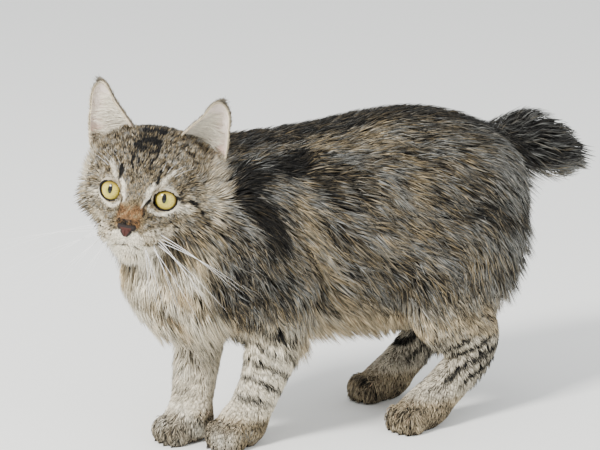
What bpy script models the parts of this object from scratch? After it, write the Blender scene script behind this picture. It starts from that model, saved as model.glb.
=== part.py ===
"""A young pixie-bob cat, life size, standing with its head turned to its left.

The cat faces -Y, its left side is +X and the floor is z = 0. Its outline is a smooth union of
ellipsoids and oval tubes. The flesh is modelled whole, with the longer coat as locks rooted in it,
and then parted with thin cuts into the pieces that a person would name.
"""

import math

import bmesh
import bpy
import numpy as np
from mathutils import Matrix, Vector
from mathutils.bvhtree import BVHTree

# Gaps, and how fine the flesh is
GAP = 0.0003
WELDS = (0.000002, 0.000001, 0.0000005, 0.000004, 0.0000002)
SLIVER = 0.0000015
SEAM_BEND = 0.00003
FLESH_VOXEL = 0.0022
FLESH_TRIANGLES = 4500
SETTLING_ROUNDS = 8
LONGEST_STEP = 0.0025
EVENING = 0.5
FACE_REACH = 0.050
PAW_REACH = 0.032

# The head: where the point midway between the eyes is, how the head is turned, and its eyes
EYES_MIDDLE = Vector((0.030, -0.1436, 0.1973))
HEAD_YAW = math.radians(50)
HEAD_PITCH = math.radians(1)
HEAD_ROLL = math.radians(8)
EYE_CENTRE = Vector((0.0183, 0.0054, 0.0))
EYE_RADIUS = 0.0100
EYE_OUTWARD = math.radians(10)
EYE_OPENING = (0.0078, 0.0067)
LID_THICKNESS = 0.0014

# The torso from breast to rump: place along the back, lowest and highest point, half width
TORSO = (
    (-0.117, 0.148, 0.172, 0.010),
    (-0.111, 0.132, 0.186, 0.026),
    (-0.100, 0.108, 0.204, 0.038),
    (-0.080, 0.093, 0.217, 0.047),
    (-0.050, 0.084, 0.226, 0.053),
    (-0.020, 0.079, 0.229, 0.056),
    (0.015, 0.074, 0.231, 0.059),
    (0.050, 0.072, 0.235, 0.061),
    (0.085, 0.075, 0.237, 0.060),
    (0.115, 0.087, 0.234, 0.056),
    (0.145, 0.105, 0.225, 0.050),
    (0.165, 0.119, 0.212, 0.041),
    (0.179, 0.133, 0.198, 0.028),
    (0.185, 0.150, 0.182, 0.010),
)

# The neck, the tail and the legs: centre, half width across, half depth
NECK = (
    ((0.000, -0.062, 0.175), 0.044, 0.048),
    ((0.001, -0.084, 0.182), 0.042, 0.046),
    ((0.004, -0.106, 0.189), 0.040, 0.042),
    ((0.007, -0.122, 0.192), 0.036, 0.036),
)
TAIL = (
    ((0.000, 0.158, 0.190), 0.022, 0.020),
    ((0.000, 0.180, 0.199), 0.022, 0.021),
    ((0.000, 0.200, 0.200), 0.022, 0.022),
    ((0.000, 0.219, 0.192), 0.018, 0.019),
    ((0.000, 0.234, 0.183), 0.011, 0.012),
    ((0.000, 0.243, 0.178), 0.005, 0.005),
)
FORELEG_LEFT = (
    ((0.036, -0.056, 0.150), 0.022, 0.032),
    ((0.040, -0.044, 0.118), 0.021, 0.031),
    ((0.038, -0.040, 0.092), 0.0190, 0.0250),
    ((0.031, -0.043, 0.064), 0.0165, 0.0190),
    ((0.024, -0.049, 0.038), 0.0152, 0.0160),
    ((0.0185, -0.056, 0.018), 0.0155, 0.0160),
)
FORELEG_RIGHT = (
    ((-0.036, -0.060, 0.150), 0.022, 0.032),
    ((-0.038, -0.060, 0.118), 0.021, 0.030),
    ((-0.032, -0.066, 0.092), 0.0190, 0.0240),
    ((-0.024, -0.073, 0.064), 0.0165, 0.0185),
    ((-0.017, -0.080, 0.038), 0.0152, 0.0155),
    ((-0.012, -0.086, 0.018), 0.0155, 0.0160),
)
HINDLEG_LEFT = (
    ((0.030, 0.124, 0.175), 0.026, 0.046),
    ((0.036, 0.112, 0.132), 0.027, 0.050),
    ((0.043, 0.102, 0.100), 0.023, 0.040),
    ((0.046, 0.114, 0.078), 0.018, 0.028),
    ((0.046, 0.127, 0.058), 0.0145, 0.0170),
    ((0.047, 0.108, 0.036), 0.0140, 0.0155),
    ((0.048, 0.088, 0.020), 0.0150, 0.0160),
)
HINDLEG_RIGHT = (
    ((-0.030, 0.124, 0.175), 0.026, 0.046),
    ((-0.036, 0.114, 0.132), 0.027, 0.050),
    ((-0.042, 0.108, 0.100), 0.023, 0.040),
    ((-0.040, 0.122, 0.078), 0.018, 0.028),
    ((-0.036, 0.136, 0.058), 0.0145, 0.0170),
    ((-0.033, 0.120, 0.036), 0.0140, 0.0155),
    ((-0.031, 0.102, 0.020), 0.0150, 0.0160),
)

# Rounded masses of the body: centre, half sizes. The last is the breast with its bib
BODY_MASSES = (
    ((0.030, -0.056, 0.150), (0.027, 0.044, 0.064)),
    ((-0.030, -0.060, 0.150), (0.027, 0.044, 0.064)),
    ((0.030, 0.120, 0.144), (0.030, 0.055, 0.066)),
    ((-0.030, 0.122, 0.144), (0.030, 0.055, 0.066)),
    ((0.006, -0.106, 0.141), (0.042, 0.041, 0.056)),
)

# The paws: middle of the sole, half length, half width and the way the toes point, from -Y to +X
PAWS = {
    "forepaw_left": ((0.0185, -0.0645, 0.0), 0.0235, 0.0178, math.radians(24)),
    "forepaw_right": ((-0.0110, -0.0930, 0.0), 0.0235, 0.0178, math.radians(12)),
    "hindpaw_left": ((0.0490, 0.0720, 0.0), 0.0260, 0.0180, math.radians(16)),
    "hindpaw_right": ((-0.0300, 0.0860, 0.0), 0.0250, 0.0175, math.radians(6)),
}
PAW_HEIGHT = 0.0285
TOE_SPREAD = (-0.68, -0.25, 0.25, 0.68)

# Rounded masses of the head, from the point midway between the eyes: centre, half sizes, and how
# far the top leans back. A mass off the middle is there on both sides
HEAD_MASSES = (
    ((0.0, 0.033, 0.007), (0.044, 0.038, 0.036), 0),
    ((0.023, 0.028, -0.006), (0.0235, 0.027, 0.021), 0),
    ((0.0, 0.021, -0.021), (0.030, 0.030, 0.020), 0),
    ((0.0, 0.000, -0.018), (0.021, 0.020, 0.014), 0),
    ((0.0, -0.0060, -0.004), (0.0095, 0.0080, 0.0180), math.radians(33)),
    ((0.0095, -0.0115, -0.0250), (0.0130, 0.0120, 0.0085), 0),
    ((0.0, -0.0060, -0.0345), (0.0125, 0.0120, 0.0095), 0),
    ((0.015, 0.0105, 0.013), (0.014, 0.014, 0.008), 0),
)

# The nose: its outline from its middle, how far its rings are out, and its nostrils
NOSE_MIDDLE = -0.0200
NOSE_OUTLINE = (
    (0.0030, 0.0042), (0.0062, 0.0036), (0.0068, 0.0012), (0.0040, -0.0024), (0.0014, -0.0052),
    (-0.0014, -0.0052), (-0.0040, -0.0024), (-0.0068, 0.0012), (-0.0062, 0.0036), (-0.0030, 0.0042),
)
NOSE_DEPTHS = ((-0.0160, 0.92), (-0.0215, 1.0), (-0.0238, 0.96), (-0.0252, 0.72))
NOSTRIL = (0.0040, -0.0240, -0.0203)
NOSTRIL_SIZE = (0.0021, 0.0022, 0.0010)

# The mouth, on the left side from the middle outwards, and the line from the nose down to it
MOUTH_LINE = (
    (0.0000, -0.0205, -0.0308), (0.0045, -0.0200, -0.0322), (0.0100, -0.0165, -0.0325),
    (0.0155, -0.0100, -0.0312), (0.0195, -0.0020, -0.0295),
)
PHILTRUM = ((0.0, -0.0238, -0.0245), (0.0, -0.0232, -0.0275), (0.0, -0.0208, -0.0312))
MOUTH_GROOVE = 0.0011

# The left ear, on the head: its base, the middle and the tip of its two edges, and its cup
EAR_INNER_BASE = (0.0140, 0.0285, 0.0350)
EAR_INNER_MIDDLE = (0.0305, 0.0255, 0.0545)
EAR_OUTER_BASE = (0.0475, 0.0370, 0.0180)
EAR_OUTER_MIDDLE = (0.0500, 0.0330, 0.0450)
EAR_TIP = (0.0440, 0.0270, 0.0675)
EAR_DEPTH = 0.0150
EAR_THICKNESS = 0.0018
EAR_ROUND_FROM = 0.55
EAR_BLUNT = 0.02
EAR_SUNK = 0.22
EAR_TOP = 0.98
EAR_ROWS = 10
EAR_COLUMNS = 8

# The whiskers, on the left side: where they leave the pad, how far below level they point and how
# long they are. They droop, and are as thick as a solid of this size keeps
WHISKER_ROOT = (0.0150, -0.0125, -0.0245)
WHISKERS = ((10, 0.078), (24, 0.066), (38, 0.064), (52, 0.060), (68, 0.050))
WHISKER_FORWARD = 0.22
WHISKER_DROOP = 0.16
WHISKER_RINGS = (0.0, 0.35, 0.70)
WHISKERS_APART = 0.0012
WHISKER_RADIUS = 0.00042

# The thin cuts: middle, direction across the cut, width and height
PARTING = {
    "head_cut": ((0.000, -0.105, 0.184), (0.38, -0.68, 0.62), 0.40, 0.40),
    "neck_cut": ((0.000, -0.078, 0.166), (0.20, -0.82, 0.53), 0.40, 0.40),
    "tail_cut": ((0.000, 0.191, 0.200), (0.0, 1.0, -0.1), 0.07, 0.066),
    "forepaw_left_cut": ((0.0225, -0.052, 0.031), (0.0, -0.25, 1.0), 0.038, 0.046),
    "forepaw_right_cut": ((-0.0155, -0.083, 0.031), (0.0, -0.25, 1.0), 0.038, 0.046),
    "hock_left_cut": ((0.048, 0.126, 0.068), (0.0, 0.12, 1.0), 0.066, 0.130),
    "hock_right_cut": ((-0.042, 0.132, 0.068), (0.0, 0.12, 1.0), 0.066, 0.130),
    "hindpaw_left_cut": ((0.047, 0.100, 0.030), (0.0, -0.80, -0.60), 0.050, 0.056),
    "hindpaw_right_cut": ((-0.032, 0.114, 0.030), (0.0, -0.80, -0.60), 0.050, 0.056),
}

# The cuts that set off each leg: a sloping top from the groin or armpit out to the side, as inner
# and outer end seen from the front, its first and last place along the back, and its upright walls
LEG_CUTS = {
    "foreleg_left": (1, (0.006, 0.068), (0.070, 0.122), (-0.092, -0.010), (-0.092, -0.010)),
    "foreleg_right": (-1, (0.006, 0.068), (0.070, 0.122), (-0.106, -0.022), (-0.106, -0.022)),
    "hindleg_left": (1, (0.005, 0.058), (0.070, 0.150), (0.060, 0.230), (0.060,)),
    "hindleg_right": (-1, (0.005, 0.058), (0.070, 0.150), (0.060, 0.230), (0.060,)),
}
LEG_WALL = 0.055

# A point inside each piece of flesh
INSIDE = {
    "head": (0.005, -0.127, 0.204),
    "neck": (0.003, -0.098, 0.180),
    "torso": (0.000, 0.050, 0.150),
    "tail": (0.000, 0.205, 0.198),
    "foreleg_left": (0.031, -0.043, 0.060),
    "foreleg_right": (-0.024, -0.073, 0.060),
    "thigh_left": (0.046, 0.108, 0.100),
    "thigh_right": (-0.042, 0.114, 0.100),
    "hindleg_left": (0.046, 0.122, 0.060),
    "hindleg_right": (-0.037, 0.132, 0.060),
    "forepaw_left": (0.017, -0.063, 0.012),
    "forepaw_right": (-0.010, -0.090, 0.012),
    "hindpaw_left": (0.049, 0.075, 0.012),
    "hindpaw_right": (-0.030, 0.090, 0.012),
}

# Colour and roughness of each kind of node
FINISHES = {
    "head": ((0.36, 0.30, 0.23), 0.80),
    "neck": ((0.38, 0.31, 0.23), 0.85),
    "torso": ((0.20, 0.17, 0.14), 0.85),
    "tail": ((0.14, 0.12, 0.10), 0.85),
    "foreleg": ((0.42, 0.35, 0.26), 0.80),
    "thigh": ((0.30, 0.26, 0.21), 0.85),
    "hindleg": ((0.36, 0.30, 0.23), 0.80),
    "forepaw": ((0.36, 0.30, 0.23), 0.80),
    "hindpaw": ((0.30, 0.25, 0.20), 0.80),
    "ear": ((0.45, 0.37, 0.33), 0.75),
    "eye": ((0.62, 0.55, 0.16), 0.08),
    "nose": ((0.42, 0.16, 0.11), 0.45),
    "whisker": ((0.85, 0.83, 0.78), 0.40),
}
SHARP_ANGLE = math.radians(50)

# The coat of the body and of the head: a place on it, which way it lies there, how far its core
# lies in from the tips, and how long and wide its locks are. Each row is there on both sides, and
# places between rows take a mixture. The head's rows are measured from between the eyes
BODY_COAT = (
    ((0.012, -0.070, 0.222), (0.02, 1.00, 0.05), 0.0038, 0.046, 0.023),
    ((0.012, 0.010, 0.232), (0.02, 1.00, -0.02), 0.0036, 0.051, 0.025),
    ((0.012, 0.090, 0.238), (0.03, 1.00, -0.10), 0.0036, 0.051, 0.025),
    ((0.012, 0.150, 0.224), (0.03, 1.00, -0.30), 0.0050, 0.046, 0.022),
    ((0.052, -0.070, 0.190), (0.00, 0.75, -0.65), 0.0050, 0.049, 0.023),
    ((0.052, -0.060, 0.140), (0.00, 0.55, -0.85), 0.0045, 0.044, 0.022),
    ((0.058, 0.010, 0.190), (0.00, 0.85, -0.50), 0.0050, 0.054, 0.026),
    ((0.059, 0.010, 0.140), (0.00, 0.80, -0.60), 0.0050, 0.054, 0.026),
    ((0.054, 0.000, 0.095), (0.00, 0.80, -0.60), 0.0050, 0.049, 0.023),
    ((0.060, 0.080, 0.190), (0.00, 0.80, -0.60), 0.0050, 0.054, 0.026),
    ((0.060, 0.075, 0.140), (0.00, 0.65, -0.75), 0.0050, 0.049, 0.024),
    ((0.040, 0.040, 0.080), (0.05, 0.80, -0.60), 0.0050, 0.046, 0.022),
    ((0.012, 0.030, 0.073), (0.02, 0.95, -0.30), 0.0050, 0.046, 0.024),
    ((0.045, 0.140, 0.190), (0.05, 0.60, -0.80), 0.0050, 0.046, 0.022),
    ((0.025, 0.178, 0.160), (0.10, 0.30, -0.95), 0.0050, 0.044, 0.018),
    ((0.050, 0.150, 0.120), (0.12, 0.35, -0.95), 0.0040, 0.041, 0.018),
    ((0.058, 0.105, 0.120), (0.00, 0.30, -0.95), 0.0030, 0.026, 0.020),
    ((0.050, 0.125, 0.092), (0.05, 0.30, -0.95), 0.0010, 0.000, 0.016),
    ((0.030, 0.060, 0.090), (0.00, 0.30, -0.95), 0.0020, 0.000, 0.016),
    ((0.050, 0.120, 0.060), (0.00, 0.20, -1.00), 0.0000, 0.000, 0.014),
    ((0.045, 0.090, 0.020), (0.00, -0.30, -0.90), 0.0000, 0.000, 0.014),
    ((0.010, 0.195, 0.222), (0.05, 1.00, -0.10), 0.0060, 0.041, 0.016),
    ((0.020, 0.205, 0.200), (0.12, 1.00, -0.35), 0.0060, 0.041, 0.015),
    ((0.010, 0.198, 0.176), (0.05, 0.85, -0.60), 0.0060, 0.041, 0.016),
    ((0.008, 0.228, 0.187), (0.05, 0.90, -0.45), 0.0035, 0.036, 0.013),
    ((0.002, 0.243, 0.178), (0.05, 0.90, -0.45), 0.0005, 0.028, 0.010),
    ((0.010, -0.150, 0.150), (0.10, -0.25, -1.00), 0.0075, 0.049, 0.017),
    ((0.040, -0.125, 0.160), (0.30, 0.00, -1.00), 0.0070, 0.049, 0.017),
    ((0.010, -0.135, 0.110), (0.05, 0.15, -1.00), 0.0065, 0.044, 0.017),
    ((0.040, -0.105, 0.115), (0.20, 0.30, -1.00), 0.0055, 0.044, 0.018),
    ((0.010, -0.100, 0.092), (0.05, 0.60, -0.80), 0.0050, 0.041, 0.018),
    ((0.050, -0.030, 0.098), (0.05, 0.45, -0.90), 0.0030, 0.000, 0.018),
    ((0.045, -0.065, 0.085), (0.00, 0.15, -1.00), 0.0010, 0.000, 0.016),
    ((0.035, -0.050, 0.060), (0.00, 0.10, -1.00), 0.0000, 0.000, 0.014),
    ((0.020, -0.070, 0.020), (0.00, -0.20, -1.00), 0.0000, 0.000, 0.014),
)
HEAD_COAT = (
    ((0.006, -0.022, -0.022), (0.30, 0.20, -0.90), 0.0000, 0.000, 0.010),
    ((0.006, -0.004, 0.025), (0.00, 0.50, 0.85), 0.0000, 0.000, 0.010),
    ((0.020, -0.002, 0.002), (0.60, 0.60, 0.20), 0.0000, 0.000, 0.010),
    ((0.012, 0.030, 0.044), (0.00, 1.00, 0.10), 0.0000, 0.000, 0.012),
    ((0.036, 0.008, 0.000), (0.60, 0.80, -0.20), 0.0000, 0.000, 0.012),
    ((0.022, -0.004, -0.034), (0.50, 0.50, -0.80), 0.0000, 0.000, 0.012),
    ((0.043, 0.026, -0.014), (0.50, 0.60, -0.65), 0.0030, 0.024, 0.013),
    ((0.030, 0.020, -0.038), (0.35, 0.45, -0.85), 0.0030, 0.026, 0.013),
    ((0.006, 0.000, -0.046), (0.05, 0.20, -1.00), 0.0015, 0.000, 0.013),
    ((0.008, 0.024, -0.056), (0.10, 0.05, -1.00), 0.0060, 0.036, 0.016),
    ((0.040, 0.050, -0.030), (0.30, 0.60, -0.80), 0.0050, 0.036, 0.018),
    ((0.044, 0.060, 0.005), (0.10, 0.90, -0.45), 0.0040, 0.034, 0.018),
    ((0.012, 0.066, 0.036), (0.00, 1.00, -0.15), 0.0030, 0.032, 0.019),
)
COAT_MIXING = 2.0
COAT_NEAREST = 0.001
POINTS_AT_ONCE = 20000
SLOPE_STEP = 0.0006
SHORTEST_LOCK = 0.016
LOCK_SPACING = 0.93
LOCK_SEED = 7
ROOT_TRIES = 9000

# A lock's rings: share of its length, share of the coat's depth that it rises above the core, and
# its width and thickness there as shares. The first ring is sunk into the core
LOCK_RINGS = ((0.0, 0.0, 0.75, 0.8), (0.30, 0.45, 1.0, 1.0), (0.66, 0.88, 0.66, 0.8))
LOCK_SUNK = 0.0040
LOCK_THICKNESS = 0.0030
LOCK_TURN = 0.15
LOCK_BEND = 0.10
EAR_CLEARANCE = 0.008
FREE_FROM = 0.30
FREE_OVER = 0.40

# How softly forms run into one another
TORSO_BLEND = 0.016
LIMB_BLEND = 0.014
HEAD_BLEND = 0.0075
LID_BLEND = 0.0035
NECK_BLEND = 0.012
TOE_BLEND = 0.0030
WRIST_BLEND = 0.009
FAR = 0.030


def clear_scene():
    for obj in list(bpy.data.objects):
        bpy.data.objects.remove(obj)


def new_collection(name):
    group = bpy.data.collections.new(name)
    bpy.context.scene.collection.children.link(group)
    return group


def mesh_object(name, source, group):
    """An object from a bmesh, linked to a collection."""
    mesh = bpy.data.meshes.new(name)
    source.normal_update()
    source.to_mesh(mesh)
    source.free()
    obj = bpy.data.objects.new(name, mesh)
    group.objects.link(obj)
    return obj


def head_matrix():
    """Takes a point of the head, measured from between the eyes, to its place on the cat."""
    turn = Matrix.Rotation(HEAD_YAW, 4, "Z")
    lift = Matrix.Rotation(-HEAD_PITCH, 4, "X")
    lean = Matrix.Rotation(HEAD_ROLL, 4, "Y")
    return Matrix.Translation(EYES_MIDDLE) @ turn @ lift @ lean


def catmull(points, steps):
    """Points on a smooth curve through the rows of an array, with the given steps between two rows."""
    rows = np.array(points, float)
    rows = np.vstack([2 * rows[0] - rows[1], rows, 2 * rows[-1] - rows[-2]])
    found = []
    for i in range(1, len(rows) - 2):
        a, b, c, d = rows[i - 1 : i + 3]
        for t in np.arange(steps) / steps:
            bend = (2 * a - 5 * b + 4 * c - d) * t**2 + (3 * b - a - 3 * c + d) * t**3
            found.append(0.5 * (2 * b + (c - a) * t + bend))
    found.append(rows[-2])
    return np.array(found)


def tube_rows(stations, steps=5):
    """The rows of a limb: centre, half width across, half depth."""
    return catmull([(*centre, across, deep) for centre, across, deep in stations], steps)


def torso_stations():
    return [((0.0, y, (low + high) / 2), half, (high - low) / 2) for y, low, high, half in TORSO]


def oval_axes(along):
    """The two directions across a tube that runs along a direction."""
    across = np.array((1.0, 0.0, 0.0)) - along * along[0]
    across /= np.linalg.norm(across)
    return across, np.cross(along, across)


def head_forms():
    """The head's masses as placing matrix and half sizes, both sides."""
    forms = []
    for centre, half_sizes, lean in HEAD_MASSES:
        for side in (1, -1) if centre[0] else (1,):
            place = Matrix.Translation((side * centre[0], *centre[1:])) @ Matrix.Rotation(-lean, 4, "X")
            forms.append((head_matrix() @ place, half_sizes))
    return forms


def paw_forms(name):
    """The palm and the four round toes of a paw, which reach a little below the floor."""
    sole, length, width, turn = PAWS[name]
    place = Matrix.Translation(Vector(sole)) @ Matrix.Rotation(turn, 4, "Z")
    palm = Matrix.Translation((0.0, 0.20 * length, 0.44 * PAW_HEIGHT))
    forms = [(place @ palm, (0.92 * width, 0.78 * length, 0.52 * PAW_HEIGHT))]
    for spread in TOE_SPREAD:
        forward = length * (0.62 - 0.30 * abs(spread))
        toe = Matrix.Rotation(-0.20 * spread, 4, "Z") @ Matrix.Translation((spread * width, -forward, 0.33 * PAW_HEIGHT))
        forms.append((place @ toe, (0.27 * width, 0.44 * length, 0.40 * PAW_HEIGHT)))
    return forms


def mass_forms():
    return [(Matrix.Translation(centre), half_sizes) for centre, half_sizes in BODY_MASSES]


def ellipsoid_distance(points, place, half_sizes):
    """About how far points are outside an ellipsoid, negative inside it."""
    turn = np.array(place.to_3x3())
    local = (points - np.array(place.translation)) @ turn
    near = np.linalg.norm(local / half_sizes, axis=1)
    steep = np.linalg.norm(local / np.square(half_sizes), axis=1)
    return near * (near - 1.0) / np.maximum(steep, 1e-9)


def oval_reach(flat, sizes):
    """How far an oval section reaches in the direction of points in its plane."""
    return np.linalg.norm(flat, axis=1) / np.maximum(np.linalg.norm(flat / sizes, axis=1), 1e-6)


def torso_distance(points):
    """About how far points are outside the torso, whose sections stand upright across the back."""
    rows = catmull([(centre[1], centre[2], half, deep) for centre, half, deep in torso_stations()], 4)
    along = np.clip(points[:, 1], rows[0, 0], rows[-1, 0])
    middle, half, deep = (np.interp(along, rows[:, 0], rows[:, k]) for k in (1, 2, 3))
    flat = np.stack([points[:, 0], points[:, 2] - middle], axis=1)
    radial = np.linalg.norm(flat, axis=1) - oval_reach(flat, np.stack([half, deep], axis=1))
    beyond = np.maximum(rows[0, 0] - points[:, 1], points[:, 1] - rows[-1, 0])
    outside = np.hypot(np.maximum(radial, 0.0), np.maximum(beyond, 0.0))
    return outside + np.minimum(np.maximum(radial, beyond), 0.0)


def tube_distance(points, rows):
    """About how far points are outside an oval tube, and FAR for points well away from it."""
    reach = rows[:, 3:].max() + FAR
    near = ((points > rows[:, :3].min(axis=0) - reach) & (points < rows[:, :3].max(axis=0) + reach)).all(axis=1)
    nearest = np.full(near.sum(), FAR)
    for start, end in zip(rows, rows[1:]):
        run = end[:3] - start[:3]
        from_start = points[near] - start[:3]
        share = np.clip(from_start @ run / (run @ run), 0.0, 1.0)[:, None]
        off = from_start - share * run
        sizes = start[3:] + share * (end[3:] - start[3:])
        across, deep = oval_axes(run / np.linalg.norm(run))
        flat = np.stack([off @ across, off @ deep], axis=1)
        nearest = np.minimum(nearest, np.linalg.norm(off, axis=1) - oval_reach(flat, sizes))
    distance = np.full(len(points), FAR)
    distance[near] = nearest
    return distance


def soft_union(first, second, blend):
    """The nearer of two distances, run together softly where they are about equal."""
    overlap = np.maximum(blend - np.abs(first - second), 0.0) / blend
    return np.minimum(first, second) - overlap**2 * blend / 4


def group_distance(points, forms, blend):
    distance = ellipsoid_distance(points, *forms[0])
    for form in forms[1:]:
        distance = soft_union(distance, ellipsoid_distance(points, *form), blend)
    return distance


def lids_distance(points):
    """How far points are outside the lids, which are balls round the eyeballs."""
    centres = [np.array(eye_matrix(side).translation) for side in (1, -1)]
    return np.min([np.linalg.norm(points - c, axis=1) for c in centres], axis=0) - EYE_RADIUS - LID_THICKNESS


def cat_distance(points):
    """About how far points are outside the cat's outline, ears and eyes left out."""
    distance = torso_distance(points)
    for form in mass_forms():
        distance = soft_union(distance, ellipsoid_distance(points, *form), TORSO_BLEND)
    distance = soft_union(distance, tube_distance(points, tube_rows(TAIL)), LIMB_BLEND)
    distance = soft_union(distance, tube_distance(points, tube_rows(NECK)), TORSO_BLEND)
    head = soft_union(group_distance(points, head_forms(), HEAD_BLEND), lids_distance(points), LID_BLEND)
    distance = soft_union(distance, head, NECK_BLEND)
    with_legs = [distance]
    for stations, paw in zip((FORELEG_LEFT, FORELEG_RIGHT, HINDLEG_LEFT, HINDLEG_RIGHT), PAWS):
        leg = tube_distance(points, tube_rows(stations))
        leg = soft_union(leg, group_distance(points, paw_forms(paw), TOE_BLEND), WRIST_BLEND)
        with_legs.append(soft_union(distance, leg, LIMB_BLEND))
    return np.min(with_legs, axis=0)


def add_ellipsoid(target, place, half_sizes, segments=20):
    """A closed ball, stretched to its half sizes."""
    stretched = place @ Matrix.Diagonal((*half_sizes, 1.0))
    bmesh.ops.create_uvsphere(target, u_segments=segments, v_segments=segments // 2, radius=1.0, matrix=stretched)


def add_loft(target, rings):
    """A closed skin over rings of equally many points, with a fan over each end."""
    rows = [[target.verts.new(p) for p in ring] for ring in rings]
    count = len(rows[0])
    for low, high in zip(rows, rows[1:]):
        for i in range(count):
            j = (i + 1) % count
            target.faces.new((low[i], low[j], high[j], high[i]))
    for row, order in ((rows[0], -1), (rows[-1], 1)):
        middle = target.verts.new(sum((v.co for v in row), Vector()) / count)
        for i in range(count):
            j = (i + 1) % count
            target.faces.new((row[i], row[j], middle)[::order])


def add_tube(target, rows, sides=16):
    """A tube of oval sections along a limb."""
    rings = []
    for i, row in enumerate(rows):
        along = rows[min(i + 1, len(rows) - 1)][:3] - rows[max(i - 1, 0)][:3]
        across, deep = oval_axes(along / np.linalg.norm(along))
        angles = 2 * math.pi * np.arange(sides) / sides
        rings.append([row[:3] + across * row[3] * math.cos(a) + deep * row[4] * math.sin(a) for a in angles])
    add_loft(target, rings)


def evaluated_mesh(obj):
    """The object's mesh with its modifiers applied."""
    graph = bpy.context.evaluated_depsgraph_get()
    return bpy.data.meshes.new_from_object(obj.evaluated_get(graph), depsgraph=graph)


def bake_modifiers(obj):
    mesh = evaluated_mesh(obj)
    obj.modifiers.clear()
    obj.data = mesh


def mesh_points(mesh):
    points = np.empty(len(mesh.vertices) * 3, np.float32)
    mesh.vertices.foreach_get("co", points)
    return points.reshape(-1, 3).astype(float)


def mesh_normals(mesh):
    normals = np.empty(len(mesh.vertices) * 3, np.float32)
    mesh.vertices.foreach_get("normal", normals)
    return normals.reshape(-1, 3).astype(float)


def neighbours_mean(mesh, points):
    """For each point of a mesh, the mean of the points that it shares an edge with."""
    ends = np.empty(len(mesh.edges) * 2, np.int32)
    mesh.edges.foreach_get("vertices", ends)
    first, second = ends.reshape(-1, 2).T
    count = np.bincount(ends, minlength=len(points))[:, None]
    total = np.zeros_like(points)
    for axis in range(3):
        total[:, axis] = np.bincount(first, points[second, axis], len(points))
        total[:, axis] += np.bincount(second, points[first, axis], len(points))
    return total / count


def coat_rows():
    """The coat's guide rows on both sides: places, and for each its lie, core depth, lock length and width."""
    turn = np.array(head_matrix().to_3x3())
    middle = np.array(head_matrix().translation)
    places = []
    values = []
    for rows, matrix, origin in ((BODY_COAT, np.eye(3), np.zeros(3)), (HEAD_COAT, turn, middle)):
        for place, lie, *sizes in rows:
            for side in (1, -1):
                flip = np.array((side, 1, 1))
                places.append(matrix @ (np.array(place) * flip) + origin)
                values.append((*(matrix @ (np.array(lie) * flip)), *sizes))
    return np.array(places), np.array(values)


def coat_at(points):
    """The coat at points: its lie, how far its core lies in, and its locks' length and width."""
    places, values = coat_rows()
    found = np.empty((len(points), values.shape[1]))
    for start in range(0, len(points), POINTS_AT_ONCE):
        some = points[start : start + POINTS_AT_ONCE]
        apart = ((some[:, None] - places) ** 2).sum(axis=2)
        weight = 1 / (apart + COAT_NEAREST**2) ** COAT_MIXING
        found[start : start + POINTS_AT_ONCE] = weight @ values / weight.sum(axis=1, keepdims=True)
    return found[:, :3], found[:, 3], found[:, 4], found[:, 5]


def outline_way(points):
    """The direction straight out of the cat's outline."""
    slope = np.stack([cat_distance(points + e) - cat_distance(points - e) for e in np.eye(3) * SLOPE_STEP], axis=1)
    return slope / np.maximum(np.linalg.norm(slope, axis=1, keepdims=True), 1e-12)


def lock_roots(mesh):
    """Places for locks on the coat, about a lock's width apart."""
    points = mesh_points(mesh)
    _, _, length, width = coat_at(points)
    hairy = np.flatnonzero(length > SHORTEST_LOCK)
    tries = np.random.default_rng(LOCK_SEED).permutation(hairy)[:ROOT_TRIES]
    taken = np.empty((0, 3))
    kept = []
    for i in tries:
        if kept and np.linalg.norm(taken - points[i], axis=1).min() < LOCK_SPACING * width[i]:
            continue
        kept.append(i)
        taken = points[kept]
    return taken


def clear_of_ears(points, reach):
    """Which points are further than their reach from both ears."""
    shares = [(i / 4, k / 4) for i in range(5) for k in range(5)]
    flat = [ear_point(share, across) for share, across in shares]
    ears = np.array([head_matrix() @ Vector((side * p.x, p.y, p.z)) for p in flat for side in (1, -1)])
    return np.linalg.norm(points[:, None] - ears, axis=2).min(axis=1) > reach


def lock_way(points, free, angle):
    """The way that locks run from points, and how free of the coat they hang by then."""
    lie = coat_at(points)[0]
    out = outline_way(points)
    facing = (lie * out).sum(axis=1)
    free = np.maximum(free, np.clip((facing - FREE_FROM) / FREE_OVER, 0.0, 1.0))
    way = lie - out * (facing * (1 - free))[:, None]
    way /= np.linalg.norm(way, axis=1, keepdims=True)
    return way * np.cos(angle)[:, None] + np.cross(out, way) * np.sin(angle)[:, None], free


def lock_rings(points):
    """The rings of a lock from each root: middles, ways out, ways along, widths and thicknesses."""
    draw = np.random.default_rng(LOCK_SEED + 1)
    count = len(points)
    _, _, length, width = coat_at(points)
    length = length * draw.uniform(0.85, 1.25, count)
    width = width * draw.uniform(0.85, 1.20, count)
    turn = draw.normal(0.0, LOCK_TURN, count)
    bend = draw.normal(0.0, LOCK_BEND, count)
    lift = draw.uniform(0.85, 1.20, count)
    free = np.zeros(count)
    rings = []
    last = 0.0
    for share, rise, wide, thick in (*LOCK_RINGS, (1.0, 1.0, 0.0, 0.0)):
        inset = coat_at(points)[1]
        way, free = lock_way(points, free, turn + bend * (share - 0.5) * 6)
        points = points + way * (length * (share - last))[:, None]
        last = share
        level = 2 * inset * rise * lift - inset if share else -inset - LOCK_SUNK
        for _ in range(3):
            points = points - outline_way(points) * ((cat_distance(points) - level) * (1 - free))[:, None]
        rings.append((points, outline_way(points), way, width * wide, LOCK_THICKNESS * thick))
    clear = np.all([clear_of_ears(ring[0], EAR_CLEARANCE + width / 2) for ring in rings], axis=0)
    return rings, clear


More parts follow.
